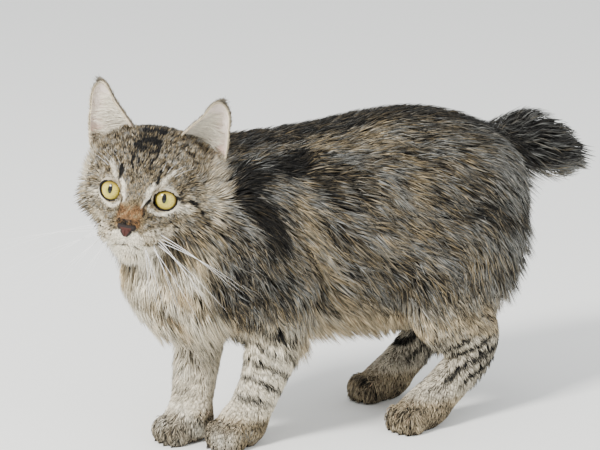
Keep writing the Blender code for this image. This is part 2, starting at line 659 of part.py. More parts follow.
def add_locks(flesh):
    """Flat tapered locks that follow the lie of the coat over one another, fused with the flesh."""
    rings, clear = lock_rings(lock_roots(flesh.data))
    group = new_cutters("locks")
    for i in np.flatnonzero(clear):
        lock = bmesh.new()
        outlines = []
        for centre, out, way, wide, thick in rings[:-1]:
            across = np.cross(way[i], out[i])
            across /= np.linalg.norm(across)
            half = across * wide[i] / 2
            outlines.append((centre[i] - half, centre[i] + half, centre[i] + out[i] * thick))
        add_lock(lock, outlines, rings[-1][0][i])
        helper("lock", lock, group)
    add_boolean(flesh, "UNION", "locks", group)


def add_lock(target, outlines, tip):
    """A closed three-sided lock through its rings to its tip."""
    rows = [[target.verts.new(p) for p in outline] for outline in outlines]
    end = target.verts.new(tip)
    target.faces.new(rows[0])
    for low, high in zip(rows, rows[1:]):
        for i in range(3):
            j = (i + 1) % 3
            target.faces.new((low[i], low[j], high[j], high[i]))
    for i in range(3):
        target.faces.new((rows[-1][i], rows[-1][(i + 1) % 3], end))
    bmesh.ops.recalc_face_normals(target, faces=target.faces)


def settle(mesh, rounds):
    """Draws a mesh onto the core of the coat, and evens it out."""
    for _ in range(rounds):
        points = mesh_points(mesh)
        distance = cat_distance(points) + coat_at(points)[1]
        points -= mesh_normals(mesh) * np.clip(distance, -LONGEST_STEP, LONGEST_STEP)[:, None]
        points += EVENING * (neighbours_mean(mesh, points) - points)
        mesh.vertices.foreach_set("co", points.ravel())
        mesh.update()


def whole_flesh(group):
    """The cat in one piece without its ears and eyes."""
    forms = bmesh.new()
    for stations in (torso_stations(), NECK, TAIL, FORELEG_LEFT, FORELEG_RIGHT, HINDLEG_LEFT, HINDLEG_RIGHT):
        add_tube(forms, tube_rows(stations))
    lid = EYE_RADIUS + LID_THICKNESS
    balls = mass_forms() + head_forms() + [(eye_matrix(side), (lid, lid, lid)) for side in (1, -1)]
    for name in PAWS:
        balls += paw_forms(name)
    for place, half_sizes in balls:
        add_ellipsoid(forms, place, half_sizes)
    bmesh.ops.recalc_face_normals(forms, faces=forms.faces)
    flesh = mesh_object("flesh", forms, group)
    remesh = flesh.modifiers.new("one_skin", "REMESH")
    remesh.mode = "VOXEL"
    remesh.voxel_size = FLESH_VOXEL
    smooth = flesh.modifiers.new("soften", "SMOOTH")
    smooth.iterations = 12
    bake_modifiers(flesh)
    settle(flesh.data, SETTLING_ROUNDS)
    return flesh


def thin_out(flesh):
    """Fewer triangles, kept closest on the face and the paws."""
    broad = flesh.vertex_groups.new(name="broad_forms")
    face = head_matrix() @ Vector((0.0, -0.004, -0.010))
    fine = [(face, FACE_REACH)] + [(Vector(sole), PAW_REACH) for sole, _, _, _ in PAWS.values()]
    for vertex in flesh.data.vertices:
        nearness = min((vertex.co - centre).length / reach for centre, reach in fine)
        broad.add([vertex.index], min(max(nearness - 0.5, 0.0), 1.0), "REPLACE")
    thin = flesh.modifiers.new("thin_out", "DECIMATE")
    thin.ratio = FLESH_TRIANGLES / (2 * len(flesh.data.polygons))
    thin.vertex_group = broad.name
    thin.vertex_group_factor = 0.25
    thin.use_collapse_triangulate = True
    bake_modifiers(flesh)
    flesh.vertex_groups.clear()


def add_boolean(obj, operation, name, cutters):
    """A Boolean with all objects of a collection, applied, and the collection's objects removed."""
    boolean = obj.modifiers.new(name, "BOOLEAN")
    boolean.operation = operation
    boolean.operand_type = "COLLECTION"
    boolean.collection = cutters
    boolean.solver = "MANIFOLD"
    bake_modifiers(obj)
    for cutter in list(cutters.objects):
        bpy.data.objects.remove(cutter)
    bpy.data.collections.remove(cutters)


def new_cutters(name):
    """A collection for solids that cut or join another, left out of the model."""
    group = new_collection(name)
    group.hide_render = True
    return group


def helper(name, source, group):
    obj = mesh_object(name, source, group)
    obj.hide_render = True
    obj.display_type = "WIRE"
    return obj


def box_cutter(name, group, place, size):
    """A box centred on a placing matrix."""
    box = bmesh.new()
    bmesh.ops.create_cube(box, size=1.0, matrix=place @ Matrix.Diagonal((*size, 1.0)))
    helper(name, box, group)


def cut_soles(flesh):
    """The soles lie flat on the floor."""
    cutters = new_cutters("floor_cut")
    box_cutter("below_floor", cutters, Matrix.Translation((0, 0.03, -0.05)), (0.6, 0.8, 0.1))
    add_boolean(flesh, "DIFFERENCE", "soles", cutters)


def part_flesh(flesh, group):
    """Cuts the flesh with thin slabs, and names each piece by the point that lies in it."""
    cutters = new_cutters("parting_cuts")
    for name, (middle, normal, width, height) in PARTING.items():
        away = Vector(normal).normalized()
        across = (Vector((1, 0, 0)) - away * away.x).normalized()
        facing = Matrix((across, away.cross(across), away)).transposed().to_4x4()
        box_cutter(name, cutters, Matrix.Translation(middle) @ facing, (width, height, GAP))
    for name in LEG_CUTS:
        add_leg_cuts(name, cutters)
    add_boolean(flesh, "DIFFERENCE", "part", cutters)
    pieces = closed_pieces(flesh)
    for name, point in INSIDE.items():
        inside = [piece for piece in pieces if point_inside(piece, Vector(point))]
        if not inside:
            raise RuntimeError(f"no piece of the flesh holds the point of {name}")
        mesh = piece_mesh(flesh, inside[0])
        obj = bpy.data.objects.new(name, mesh)
        mesh.name = name
        group.objects.link(obj)
    bpy.data.objects.remove(flesh)


def add_leg_cuts(name, cutters):
    side, inner, outer, reach, walls = LEG_CUTS[name]
    run = Vector((side * (outer[0] - inner[0]), 0, outer[1] - inner[1]))
    tilt = Matrix.Rotation(-math.atan2(run.z, run.x), 4, "Y")
    middle = Vector((side * (inner[0] + outer[0]) / 2, 0, (inner[1] + outer[1]) / 2))
    top = Matrix.Translation(middle + Vector((0, sum(reach) / 2, 0))) @ tilt
    box_cutter(name, cutters, top, (run.length, reach[1] - reach[0], GAP))
    for wall in walls:
        upright = Matrix.Translation(middle + Vector((0, wall, 0))) @ tilt
        drop = Matrix.Translation((0, 0, -side * (LEG_WALL / 2 - GAP)))
        box_cutter(name, cutters, upright @ drop, (run.length, GAP, LEG_WALL))


def closed_pieces(obj):
    """The separate closed surfaces of a mesh, each a set of its polygons."""
    mesh = obj.data
    ends = np.empty(len(mesh.edges) * 2, np.int32)
    mesh.edges.foreach_get("vertices", ends)
    label = np.arange(len(mesh.vertices))
    first, second = ends.reshape(-1, 2).T
    while True:
        lowest = np.minimum(label[first], label[second])
        before = label.copy()
        np.minimum.at(label, first, lowest)
        np.minimum.at(label, second, lowest)
        label = label[label]
        if (label == before).all():
            break
    pieces = {}
    for polygon in mesh.polygons:
        pieces.setdefault(int(label[polygon.vertices[0]]), []).append(polygon.index)
    return [(mesh, polygons) for polygons in sorted(pieces.values(), key=len, reverse=True)]


def point_inside(piece, point):
    """Whether a point is inside a closed surface, by counting crossings of a ray."""
    mesh, polygons = piece
    corners = [v.co for v in mesh.vertices]
    tree = BVHTree.FromPolygons(corners, [tuple(mesh.polygons[i].vertices) for i in polygons])
    way = Vector((0.31, 0.17, 0.93)).normalized()
    crossings = 0
    hit = tree.ray_cast(point, way)[0]
    while hit is not None:
        crossings += 1
        hit = tree.ray_cast(hit + way * 1e-6, way)[0]
    return crossings % 2 == 1


def piece_mesh(obj, piece):
    source, polygons = piece
    used = sorted({v for i in polygons for v in source.polygons[i].vertices})
    place = {old: new for new, old in enumerate(used)}
    mesh = bpy.data.meshes.new(obj.name)
    faces = [[place[v] for v in source.polygons[i].vertices] for i in polygons]
    mesh.from_pydata([source.vertices[v].co[:] for v in used], [], faces)
    return mesh


def keep_largest(obj):
    """Drops loose scraps and sealed hollows, so that the node is one closed surface."""
    obj.data = piece_mesh(obj, closed_pieces(obj)[0])


def drop_faces(skin, faces):
    bmesh.ops.delete(skin, geom=faces, context="FACES_ONLY")
    bare = [edge for edge in skin.edges if not edge.link_faces]
    bmesh.ops.delete(skin, geom=bare, context="EDGES")


def drop_fins(skin):
    """Removes sheets of no thickness: two triangles on the same corners, or what is left of such a pair."""
    pairs = {}
    for face in skin.faces:
        pairs.setdefault(frozenset(v.index for v in face.verts), []).append(face)
    drop_faces(skin, [face for pair in pairs.values() if len(pair) == 2 for face in pair])
    while True:
        open_faces = [f for f in skin.faces if any(len(e.link_faces) == 1 for e in f.edges)]
        fins = [f for f in open_faces if any(len(e.link_faces) == 3 for e in f.edges)]
        if not fins:
            return
        drop_faces(skin, fins[:1])


def split_seam(skin, edge):
    """Four faces meet at an edge: bends the two round one wedge of solid a little way into it."""
    first, second = edge.verts
    along = (second.co - first.co).normalized()
    middle = (first.co + second.co) / 2
    rays = []
    for face in edge.link_faces:
        corner = next(v for v in face.verts if v not in (first, second))
        ray = corner.co - middle
        rays.append((face, corner, (ray - along * ray.dot(along)).normalized()))
    start, _, ray = rays[0]
    turn = along.cross(ray)
    inward = 1 if turn.dot(start.normal) < 0 else -1

    def angle(other):
        return (inward * math.atan2(other.dot(turn), other.dot(ray))) % (2 * math.pi)

    partner = min(rays[1:], key=lambda entry: angle(entry[2]))
    halfway = inward * angle(partner[2]) / 2
    place = middle + (ray * math.cos(halfway) + turn * math.sin(halfway)) * SEAM_BEND
    bend = skin.verts.new(place)
    for face, corner, _ in (rays[0], partner):
        loop = [v for v in face.verts]
        i = loop.index(corner)
        after, before = loop[(i + 1) % 3], loop[(i + 2) % 3]
        skin.faces.remove(face)
        skin.faces.new((corner, after, bend))
        skin.faces.new((corner, bend, before))


def flip_slivers(skin):
    """Turns the long edge of each triangle whose corners lie almost in a line."""
    for face in list(skin.faces):
        if not face.is_valid:
            continue
        longest = max(face.edges, key=lambda edge: edge.calc_length())
        if 2 * face.calc_area() > SLIVER * longest.calc_length() or len(longest.link_faces) != 2:
            continue
        corners = [v for f in longest.link_faces for v in f.verts if v not in longest.verts]
        if not any(edge.other_vert(corners[0]) is corners[1] for edge in corners[0].link_edges):
            bmesh.utils.edge_rotate(longest, True)


def welded(mesh, reach):
    """A copy of a mesh with points closer than the reach joined and touching sheets parted, and its torn edges."""
    skin = bmesh.new()
    skin.from_mesh(mesh)
    bmesh.ops.triangulate(skin, faces=skin.faces)
    bmesh.ops.remove_doubles(skin, verts=skin.verts, dist=reach)
    skin.verts.index_update()
    drop_fins(skin)
    flip_slivers(skin)
    skin.normal_update()
    for edge in [edge for edge in skin.edges if len(edge.link_faces) == 4]:
        if len(edge.link_faces) == 4:
            split_seam(skin, edge)
    torn = sum(len(edge.link_faces) != 2 for edge in skin.edges)
    copy = mesh.copy()
    skin.to_mesh(copy)
    skin.free()
    return copy, torn


def weld(obj):
    """Joins points that nearly coincide, as far apart as the mesh allows without tearing."""
    for reach in WELDS:
        mesh, torn = welded(obj.data, reach)
        if not torn:
            obj.data = mesh
            keep_largest(obj)
            return
    raise RuntimeError(f"{obj.name} tears at every distance")


def add_eyes(group):
    for side, name in ((1, "eye_left"), (-1, "eye_right")):
        ball = bmesh.new()
        bmesh.ops.create_uvsphere(ball, u_segments=16, v_segments=10, radius=EYE_RADIUS, matrix=eye_matrix(side))
        mesh_object(name, ball, group)


def eye_matrix(side):
    """The middle of an eyeball, with -Y the way that it looks."""
    centre = Vector((side * EYE_CENTRE.x, EYE_CENTRE.y, EYE_CENTRE.z))
    return head_matrix() @ Matrix.Translation(centre) @ Matrix.Rotation(side * EYE_OUTWARD, 4, "Z")


def cut_head(head):
    """Cuts the sockets, the openings between the lids, the mouth and the bed of the nose into the head."""
    cuts = new_cutters("head_cuts")
    for side in (1, -1):
        socket = bmesh.new()
        radius = EYE_RADIUS + GAP
        bmesh.ops.create_uvsphere(socket, u_segments=16, v_segments=10, radius=radius, matrix=eye_matrix(side))
        helper("socket", socket, cuts)
        opening = bmesh.new()
        out = Matrix.Translation((0, -EYE_RADIUS, 0)) @ Matrix.Rotation(math.radians(90), 4, "X")
        stretch = Matrix.Diagonal((EYE_OPENING[0], EYE_OPENING[1], 1.0, 1.0))
        bmesh.ops.create_cone(
            opening, cap_ends=True, segments=16, radius1=0.94, radius2=1.16, depth=0.016,
            matrix=eye_matrix(side) @ out @ stretch,
        )
        helper("opening", opening, cuts)
    add_mouth(cuts)
    helper("nose_bed", nose_solid(GAP), cuts)
    add_boolean(head, "DIFFERENCE", "face", cuts)


def add_mouth(cuts):
    """The line of the mouth: down from the nose, then out and back under each whisker pad."""
    halves = [[(side * x, y, z) for x, y, z in MOUTH_LINE] for side in (1, -1)]
    for points in (*halves, PHILTRUM):
        rows = catmull([(*head_matrix() @ Vector(p), MOUTH_GROOVE, MOUTH_GROOVE) for p in points], 2)
        groove = bmesh.new()
        add_tube(groove, rows, sides=5)
        bmesh.ops.recalc_face_normals(groove, faces=groove.faces)
        helper("mouth", groove, cuts)


def nose_solid(grown):
    """The leather of the nose: broad above and narrow below, grown by a margin."""
    rings = []
    for y, scale in NOSE_DEPTHS:
        ring = []
        for x, z in NOSE_OUTLINE:
            point = Vector((x * scale, y, NOSE_MIDDLE + z * scale))
            away = Vector((x, 0, z)).normalized() * grown
            ring.append(head_matrix() @ (point + away))
        rings.append(ring)
    solid = bmesh.new()
    add_loft(solid, rings)
    bmesh.ops.recalc_face_normals(solid, faces=solid.faces)
    return solid


def add_nose(group):
    nose = mesh_object("nose", nose_solid(0.0), group)
    cuts = new_cutters("nostrils")
    for side in (1, -1):
        nostril = bmesh.new()
        lean = Matrix.Rotation(side * math.radians(35), 4, "Y")
        place = head_matrix() @ Matrix.Translation((side * NOSTRIL[0], NOSTRIL[1], NOSTRIL[2])) @ lean
        add_ellipsoid(nostril, place, NOSTRIL_SIZE, 8)
        helper("nostril", nostril, cuts)
    add_boolean(nose, "DIFFERENCE", "nostrils", cuts)


def ear_row(share):
    """The two edges of an ear at a share of the way from its base to its rounded tip."""
    edges = []
    for base, middle in ((EAR_INNER_BASE, EAR_INNER_MIDDLE), (EAR_OUTER_BASE, EAR_OUTER_MIDDLE)):
        low, mid, tip = Vector(base), Vector(middle), Vector(EAR_TIP)
        through = 2 * mid - (low + tip) / 2
        edges.append(low * (1 - share) ** 2 + through * 2 * share * (1 - share) + tip * share**2)
    inner, outer = edges
    wider = math.sqrt((1 - EAR_ROUND_FROM) / max(1 - max(share, EAR_ROUND_FROM), EAR_BLUNT))
    middle = (inner + outer) / 2
    return middle + (inner - middle) * wider, middle + (outer - middle) * wider


def ear_point(share, across):
    """A point of the ear's back: across runs from the inner edge to the outer one."""
    inner, outer = ear_row(min(share, 1.0))
    low_inner, low_outer = ear_row(0.0)
    back = (Vector(EAR_TIP) - low_inner).cross(low_outer - low_inner).normalized()
    depth = EAR_DEPTH * math.sqrt(max(1.0 - share, 0.0)) * (0.55 + 0.45 * (1 - share))
    turn = across * math.pi
    return inner.lerp(outer, (1 - math.cos(turn)) / 2) + back * depth * math.sin(turn)


def add_ear(side, name, group, skin):
    """An ear as a cup, open to the front, trimmed a gap clear of the head."""
    sheet = bmesh.new()
    rows = []
    for i in range(EAR_ROWS + 1):
        share = -EAR_SUNK + (EAR_TOP + EAR_SUNK) * i / EAR_ROWS
        row = []
        for k in range(EAR_COLUMNS + 1):
            point = ear_point(share, k / EAR_COLUMNS)
            row.append(sheet.verts.new(head_matrix() @ Vector((side * point.x, point.y, point.z))))
        rows.append(row)
    for low, high in zip(rows, rows[1:]):
        for a, b, c, d in zip(low, low[1:], high[1:], high):
            sheet.faces.new((a, b, c, d)[:: -side])
    ear = mesh_object(name, sheet, group)
    shell = ear.modifiers.new("thickness", "SOLIDIFY")
    shell.thickness = EAR_THICKNESS
    shell.offset = 0.0
    shell.use_even_offset = False
    flat = ear.modifiers.new("triangles", "TRIANGULATE")
    flat.quad_method = "FIXED"
    bake_modifiers(ear)
    trim_clear(ear, skin)


def add_whiskers(group, skin):
    """Five long whiskers on each side, each trimmed a gap clear of the pad that it grows from."""
    for side, name in ((1, "left"), (-1, "right")):
        for i, (below, length) in enumerate(WHISKERS):
            angle = math.radians(below)
            way = Vector((side * math.cos(angle), -WHISKER_FORWARD, -math.sin(angle))).normalized()
            root = Vector((side * WHISKER_ROOT[0], WHISKER_ROOT[1], WHISKER_ROOT[2] - WHISKERS_APART * (i - 2)))
            rings = []
            for share in WHISKER_RINGS:
                middle = root + way * length * share + Vector((0, 0, -WHISKER_DROOP * length * share**2))
                across = way.cross(Vector((0, 1, 0))).normalized()
                over = way.cross(across)
                turns = [2 * math.pi * k / 3 for k in range(3)]
                ring = [middle + (across * math.cos(t) + over * math.sin(t)) * WHISKER_RADIUS for t in turns]
                rings.append([head_matrix() @ p for p in ring])
            tip = root + way * length + Vector((0, 0, -WHISKER_DROOP * length))
            spine = bmesh.new()
            add_lock(spine, rings, head_matrix() @ tip)
            whisker = mesh_object(f"whisker_{name}_{i + 1}", spine, group)
            trim_clear(whisker, skin)


def trim_clear(obj, skin):
    """Cuts away what a grown copy of the flesh covers, so that a gap is left."""
    cuts = new_cutters("trim")
    margin = bpy.data.objects.new("margin", skin.copy())
    margin.hide_render = True
    cuts.objects.link(margin)
    add_boolean(obj, "DIFFERENCE", "trim", cuts)
    keep_largest(obj)


def grown_copy(obj, margin):
    """A copy of a mesh with its surface moved out by a margin."""
    mesh = obj.data.copy()
    points = mesh_points(mesh) + margin * mesh_normals(mesh)
    mesh.vertices.foreach_set("co", points.ravel())
    mesh.update()
    return mesh


def finish_nodes(group):
    """Stands the cat with the middle of its box over the origin, and gives each node its finish."""
    corners = [v.co for obj in group.objects for v in obj.data.vertices]
    low = Vector(min(c[i] for c in corners) for i in range(3))
    high = Vector(max(c[i] for c in corners) for i in range(3))
    shift = Matrix.Translation((-(low.x + high.x) / 2, -(low.y + high.y) / 2, -low.z))
    for obj in group.objects:
        weld(obj)
        obj.data.transform(shift)
        obj.data.shade_smooth()
        obj.data.set_sharp_from_angle(angle=SHARP_ANGLE)
        colour, roughness = FINISHES[obj.name.split("_")[0]]
        obj.data.materials.clear()
        obj.data.materials.append(principled(obj.name.split("_")[0], colour, roughness))


def principled(name, colour, roughness):
    material = bpy.data.materials.get(name)
    if material is None:
        material = bpy.data.materials.new(name)
        material.use_nodes = True
        shader = material.node_tree.nodes["Principled BSDF"]
        shader.inputs["Base Color"].default_value = (*colour, 1.0)
        shader.inputs["Roughness"].default_value = roughness
        shader.inputs["Metallic"].default_value = 0.0
    return material


def main():
    clear_scene()
    cat = new_collection("pixie_bob_cat")
    flesh = whole_flesh(cat)
    thin_out(flesh)
    margin = grown_copy(flesh, GAP)
    add_locks(flesh)
    cut_soles(flesh)
    part_flesh(flesh, cat)
    cut_head(cat.objects["head"])
    keep_largest(cat.objects["head"])
    add_eyes(cat)
    add_nose(cat)
    add_ear(1, "ear_left", cat, margin)
    add_ear(-1, "ear_right", cat, margin)
    add_whiskers(cat, margin)
    finish_nodes(cat)


if __name__ == "__main__":
    main()
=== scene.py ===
"""The looks of a young pixie-bob cat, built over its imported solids.

One skin lies inside the solids of flesh, by the depth of the coat. The coat is thin pointed tufts that
are rooted in it and follow its lie, and skin and coat carry the same tabby markings.
"""

import math

import bmesh
import bpy
import numpy as np
from mathutils import Matrix, Vector
from mathutils.bvhtree import BVHTree
from mathutils.kdtree import KDTree


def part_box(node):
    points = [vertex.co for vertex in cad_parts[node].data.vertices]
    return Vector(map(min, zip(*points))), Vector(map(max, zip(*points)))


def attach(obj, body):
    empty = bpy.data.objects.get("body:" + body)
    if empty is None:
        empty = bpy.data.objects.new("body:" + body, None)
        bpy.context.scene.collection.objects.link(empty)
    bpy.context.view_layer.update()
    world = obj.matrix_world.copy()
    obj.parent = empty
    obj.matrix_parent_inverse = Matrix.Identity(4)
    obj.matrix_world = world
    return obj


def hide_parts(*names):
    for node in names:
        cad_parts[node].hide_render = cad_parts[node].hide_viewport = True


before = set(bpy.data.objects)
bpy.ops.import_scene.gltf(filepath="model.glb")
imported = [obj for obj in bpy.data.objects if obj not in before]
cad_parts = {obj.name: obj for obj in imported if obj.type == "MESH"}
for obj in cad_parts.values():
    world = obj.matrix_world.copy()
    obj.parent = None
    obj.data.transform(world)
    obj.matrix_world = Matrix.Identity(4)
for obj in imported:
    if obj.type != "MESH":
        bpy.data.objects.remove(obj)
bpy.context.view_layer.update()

# The form, as in the part's source. The cat faces -Y, its left side is +X and the floor is z = 0
EYES_MIDDLE = Vector((0.030, -0.1436, 0.1973))
HEAD_YAW = math.radians(50)
HEAD_PITCH = math.radians(1)
HEAD_ROLL = math.radians(8)
EYE_CENTRE = Vector((0.0183, 0.0054, 0.0))
EYE_RADIUS = 0.0100
EYE_OUTWARD = math.radians(10)
EYE_OPENING = (0.0078, 0.0067)
LID_THICKNESS = 0.0014

TORSO = (
    (-0.117, 0.148, 0.172, 0.010),
    (-0.111, 0.132, 0.186, 0.026),
    (-0.100, 0.108, 0.204, 0.038),
    (-0.080, 0.093, 0.217, 0.047),
    (-0.050, 0.084, 0.226, 0.053),
    (-0.020, 0.079, 0.229, 0.056),
    (0.015, 0.074, 0.231, 0.059),
    (0.050, 0.072, 0.235, 0.061),
    (0.085, 0.075, 0.237, 0.060),
    (0.115, 0.087, 0.234, 0.056),
    (0.145, 0.105, 0.225, 0.050),
    (0.165, 0.119, 0.212, 0.041),
    (0.179, 0.133, 0.198, 0.028),
    (0.185, 0.150, 0.182, 0.010),
)
NECK = (
    ((0.000, -0.062, 0.175), 0.044, 0.048),
    ((0.001, -0.084, 0.182), 0.042, 0.046),
    ((0.004, -0.106, 0.189), 0.040, 0.042),
    ((0.007, -0.122, 0.192), 0.036, 0.036),
)
TAIL = (
    ((0.000, 0.158, 0.190), 0.022, 0.020),
    ((0.000, 0.180, 0.199), 0.022, 0.021),
    ((0.000, 0.200, 0.200), 0.022, 0.022),
    ((0.000, 0.219, 0.192), 0.018, 0.019),
    ((0.000, 0.234, 0.183), 0.011, 0.012),
    ((0.000, 0.243, 0.178), 0.005, 0.005),
)
FORELEG_LEFT = (
    ((0.036, -0.056, 0.150), 0.022, 0.032),
    ((0.040, -0.044, 0.118), 0.021, 0.031),
    ((0.038, -0.040, 0.092), 0.0190, 0.0250),
    ((0.031, -0.043, 0.064), 0.0165, 0.0190),
    ((0.024, -0.049, 0.038), 0.0152, 0.0160),
    ((0.0185, -0.056, 0.018), 0.0155, 0.0160),
)
FORELEG_RIGHT = (
    ((-0.036, -0.060, 0.150), 0.022, 0.032),
    ((-0.038, -0.060, 0.118), 0.021, 0.030),
    ((-0.032, -0.066, 0.092), 0.0190, 0.0240),
    ((-0.024, -0.073, 0.064), 0.0165, 0.0185),
    ((-0.017, -0.080, 0.038), 0.0152, 0.0155),
    ((-0.012, -0.086, 0.018), 0.0155, 0.0160),
)
HINDLEG_LEFT = (
    ((0.030, 0.124, 0.175), 0.026, 0.046),
    ((0.036, 0.112, 0.132), 0.027, 0.050),
    ((0.043, 0.102, 0.100), 0.023, 0.040),
    ((0.046, 0.114, 0.078), 0.018, 0.028),
    ((0.046, 0.127, 0.058), 0.0145, 0.0170),
    ((0.047, 0.108, 0.036), 0.0140, 0.0155),
    ((0.048, 0.088, 0.020), 0.0150, 0.0160),
)
HINDLEG_RIGHT = (
    ((-0.030, 0.124, 0.175), 0.026, 0.046),
    ((-0.036, 0.114, 0.132), 0.027, 0.050),
    ((-0.042, 0.108, 0.100), 0.023, 0.040),
    ((-0.040, 0.122, 0.078), 0.018, 0.028),
    ((-0.036, 0.136, 0.058), 0.0145, 0.0170),
    ((-0.033, 0.120, 0.036), 0.0140, 0.0155),
    ((-0.031, 0.102, 0.020), 0.0150, 0.0160),
)
BODY_MASSES = (
    ((0.030, -0.056, 0.150), (0.027, 0.044, 0.064)),
    ((-0.030, -0.060, 0.150), (0.027, 0.044, 0.064)),
    ((0.030, 0.120, 0.144), (0.030, 0.055, 0.066)),
    ((-0.030, 0.122, 0.144), (0.030, 0.055, 0.066)),
    ((0.006, -0.106, 0.141), (0.042, 0.041, 0.056)),
)
PAWS = {
    "forepaw_left": ((0.0185, -0.0645, 0.0), 0.0235, 0.0178, math.radians(24)),
    "forepaw_right": ((-0.0110, -0.0930, 0.0), 0.0235, 0.0178, math.radians(12)),
    "hindpaw_left": ((0.0490, 0.0720, 0.0), 0.0260, 0.0180, math.radians(16)),
    "hindpaw_right": ((-0.0300, 0.0860, 0.0), 0.0250, 0.0175, math.radians(6)),
}
PAW_HEIGHT = 0.0285
TOE_SPREAD = (-0.68, -0.25, 0.25, 0.68)
# Palm and toes as shares of a paw's width, length and height: half sizes, and where they lie
PALM_SIZES = (0.92, 0.78, 0.52)
PALM_BACK = 0.20
PALM_RISE = 0.44
TOE_SIZES = (0.27, 0.44, 0.40)
TOE_FORWARD = 0.62
TOE_SET_BACK = 0.30
TOE_RISE = 0.33
TOE_TURN = 0.20
HEAD_MASSES = (
    ((0.0, 0.033, 0.007), (0.044, 0.038, 0.036), 0),
    ((0.023, 0.028, -0.006), (0.0235, 0.027, 0.021), 0),
    ((0.0, 0.021, -0.021), (0.030, 0.030, 0.020), 0),
    ((0.0, 0.000, -0.018), (0.021, 0.020, 0.014), 0),
    ((0.0, -0.0060, -0.004), (0.0095, 0.0080, 0.0180), math.radians(33)),
    ((0.0095, -0.0115, -0.0250), (0.0130, 0.0120, 0.0085), 0),
    ((0.0, -0.0060, -0.0345), (0.0125, 0.0120, 0.0095), 0),
    ((0.015, 0.0105, 0.013), (0.014, 0.014, 0.008), 0),
    ((0.0, -0.0170, -0.0150), (0.0066, 0.0068, 0.0060), 0),
)
NOSE_MIDDLE = -0.0200
NOSE_OUTLINE = (
    (0.0030, 0.0042), (0.0062, 0.0036), (0.0068, 0.0012), (0.0040, -0.0024), (0.0014, -0.0052),
    (-0.0014, -0.0052), (-0.0040, -0.0024), (-0.0068, 0.0012), (-0.0062, 0.0036), (-0.0030, 0.0042),
)
NOSE_DEPTHS = (
    (-0.0150, 0.88), (-0.0200, 0.98), (-0.0225, 1.0), (-0.0242, 0.93), (-0.0252, 0.76), (-0.0255, 0.45),
)
MOUTH_LINE = (
    (0.0000, -0.0205, -0.0308), (0.0045, -0.0200, -0.0322), (0.0100, -0.0165, -0.0325),
    (0.0155, -0.0100, -0.0312), (0.0195, -0.0020, -0.0295),
)
PHILTRUM = ((0.0, -0.0238, -0.0245), (0.0, -0.0232, -0.0275), (0.0, -0.0208, -0.0312))
MOUTH_GROOVE = 0.0010
EAR_INNER_BASE = (0.0140, 0.0285, 0.0350)
EAR_INNER_MIDDLE = (0.0305, 0.0255, 0.0545)
EAR_OUTER_BASE = (0.0475, 0.0370, 0.0180)
EAR_OUTER_MIDDLE = (0.0500, 0.0330, 0.0450)
EAR_TIP = (0.0440, 0.0270, 0.0675)
EAR_DEPTH = 0.0150
EAR_ROUND_FROM = 0.55
EAR_BLUNT = 0.02
WHISKER_ROOT = (0.0150, -0.0125, -0.0245)
WHISKER_FORWARD = 0.22
WHISKER_DROOP = 0.16
TORSO_BLEND = 0.016
LIMB_BLEND = 0.014
HEAD_BLEND = 0.0075
LID_BLEND = 0.0035
NECK_BLEND = 0.012
TOE_BLEND = 0.0030
WRIST_BLEND = 0.009
FAR = 0.030

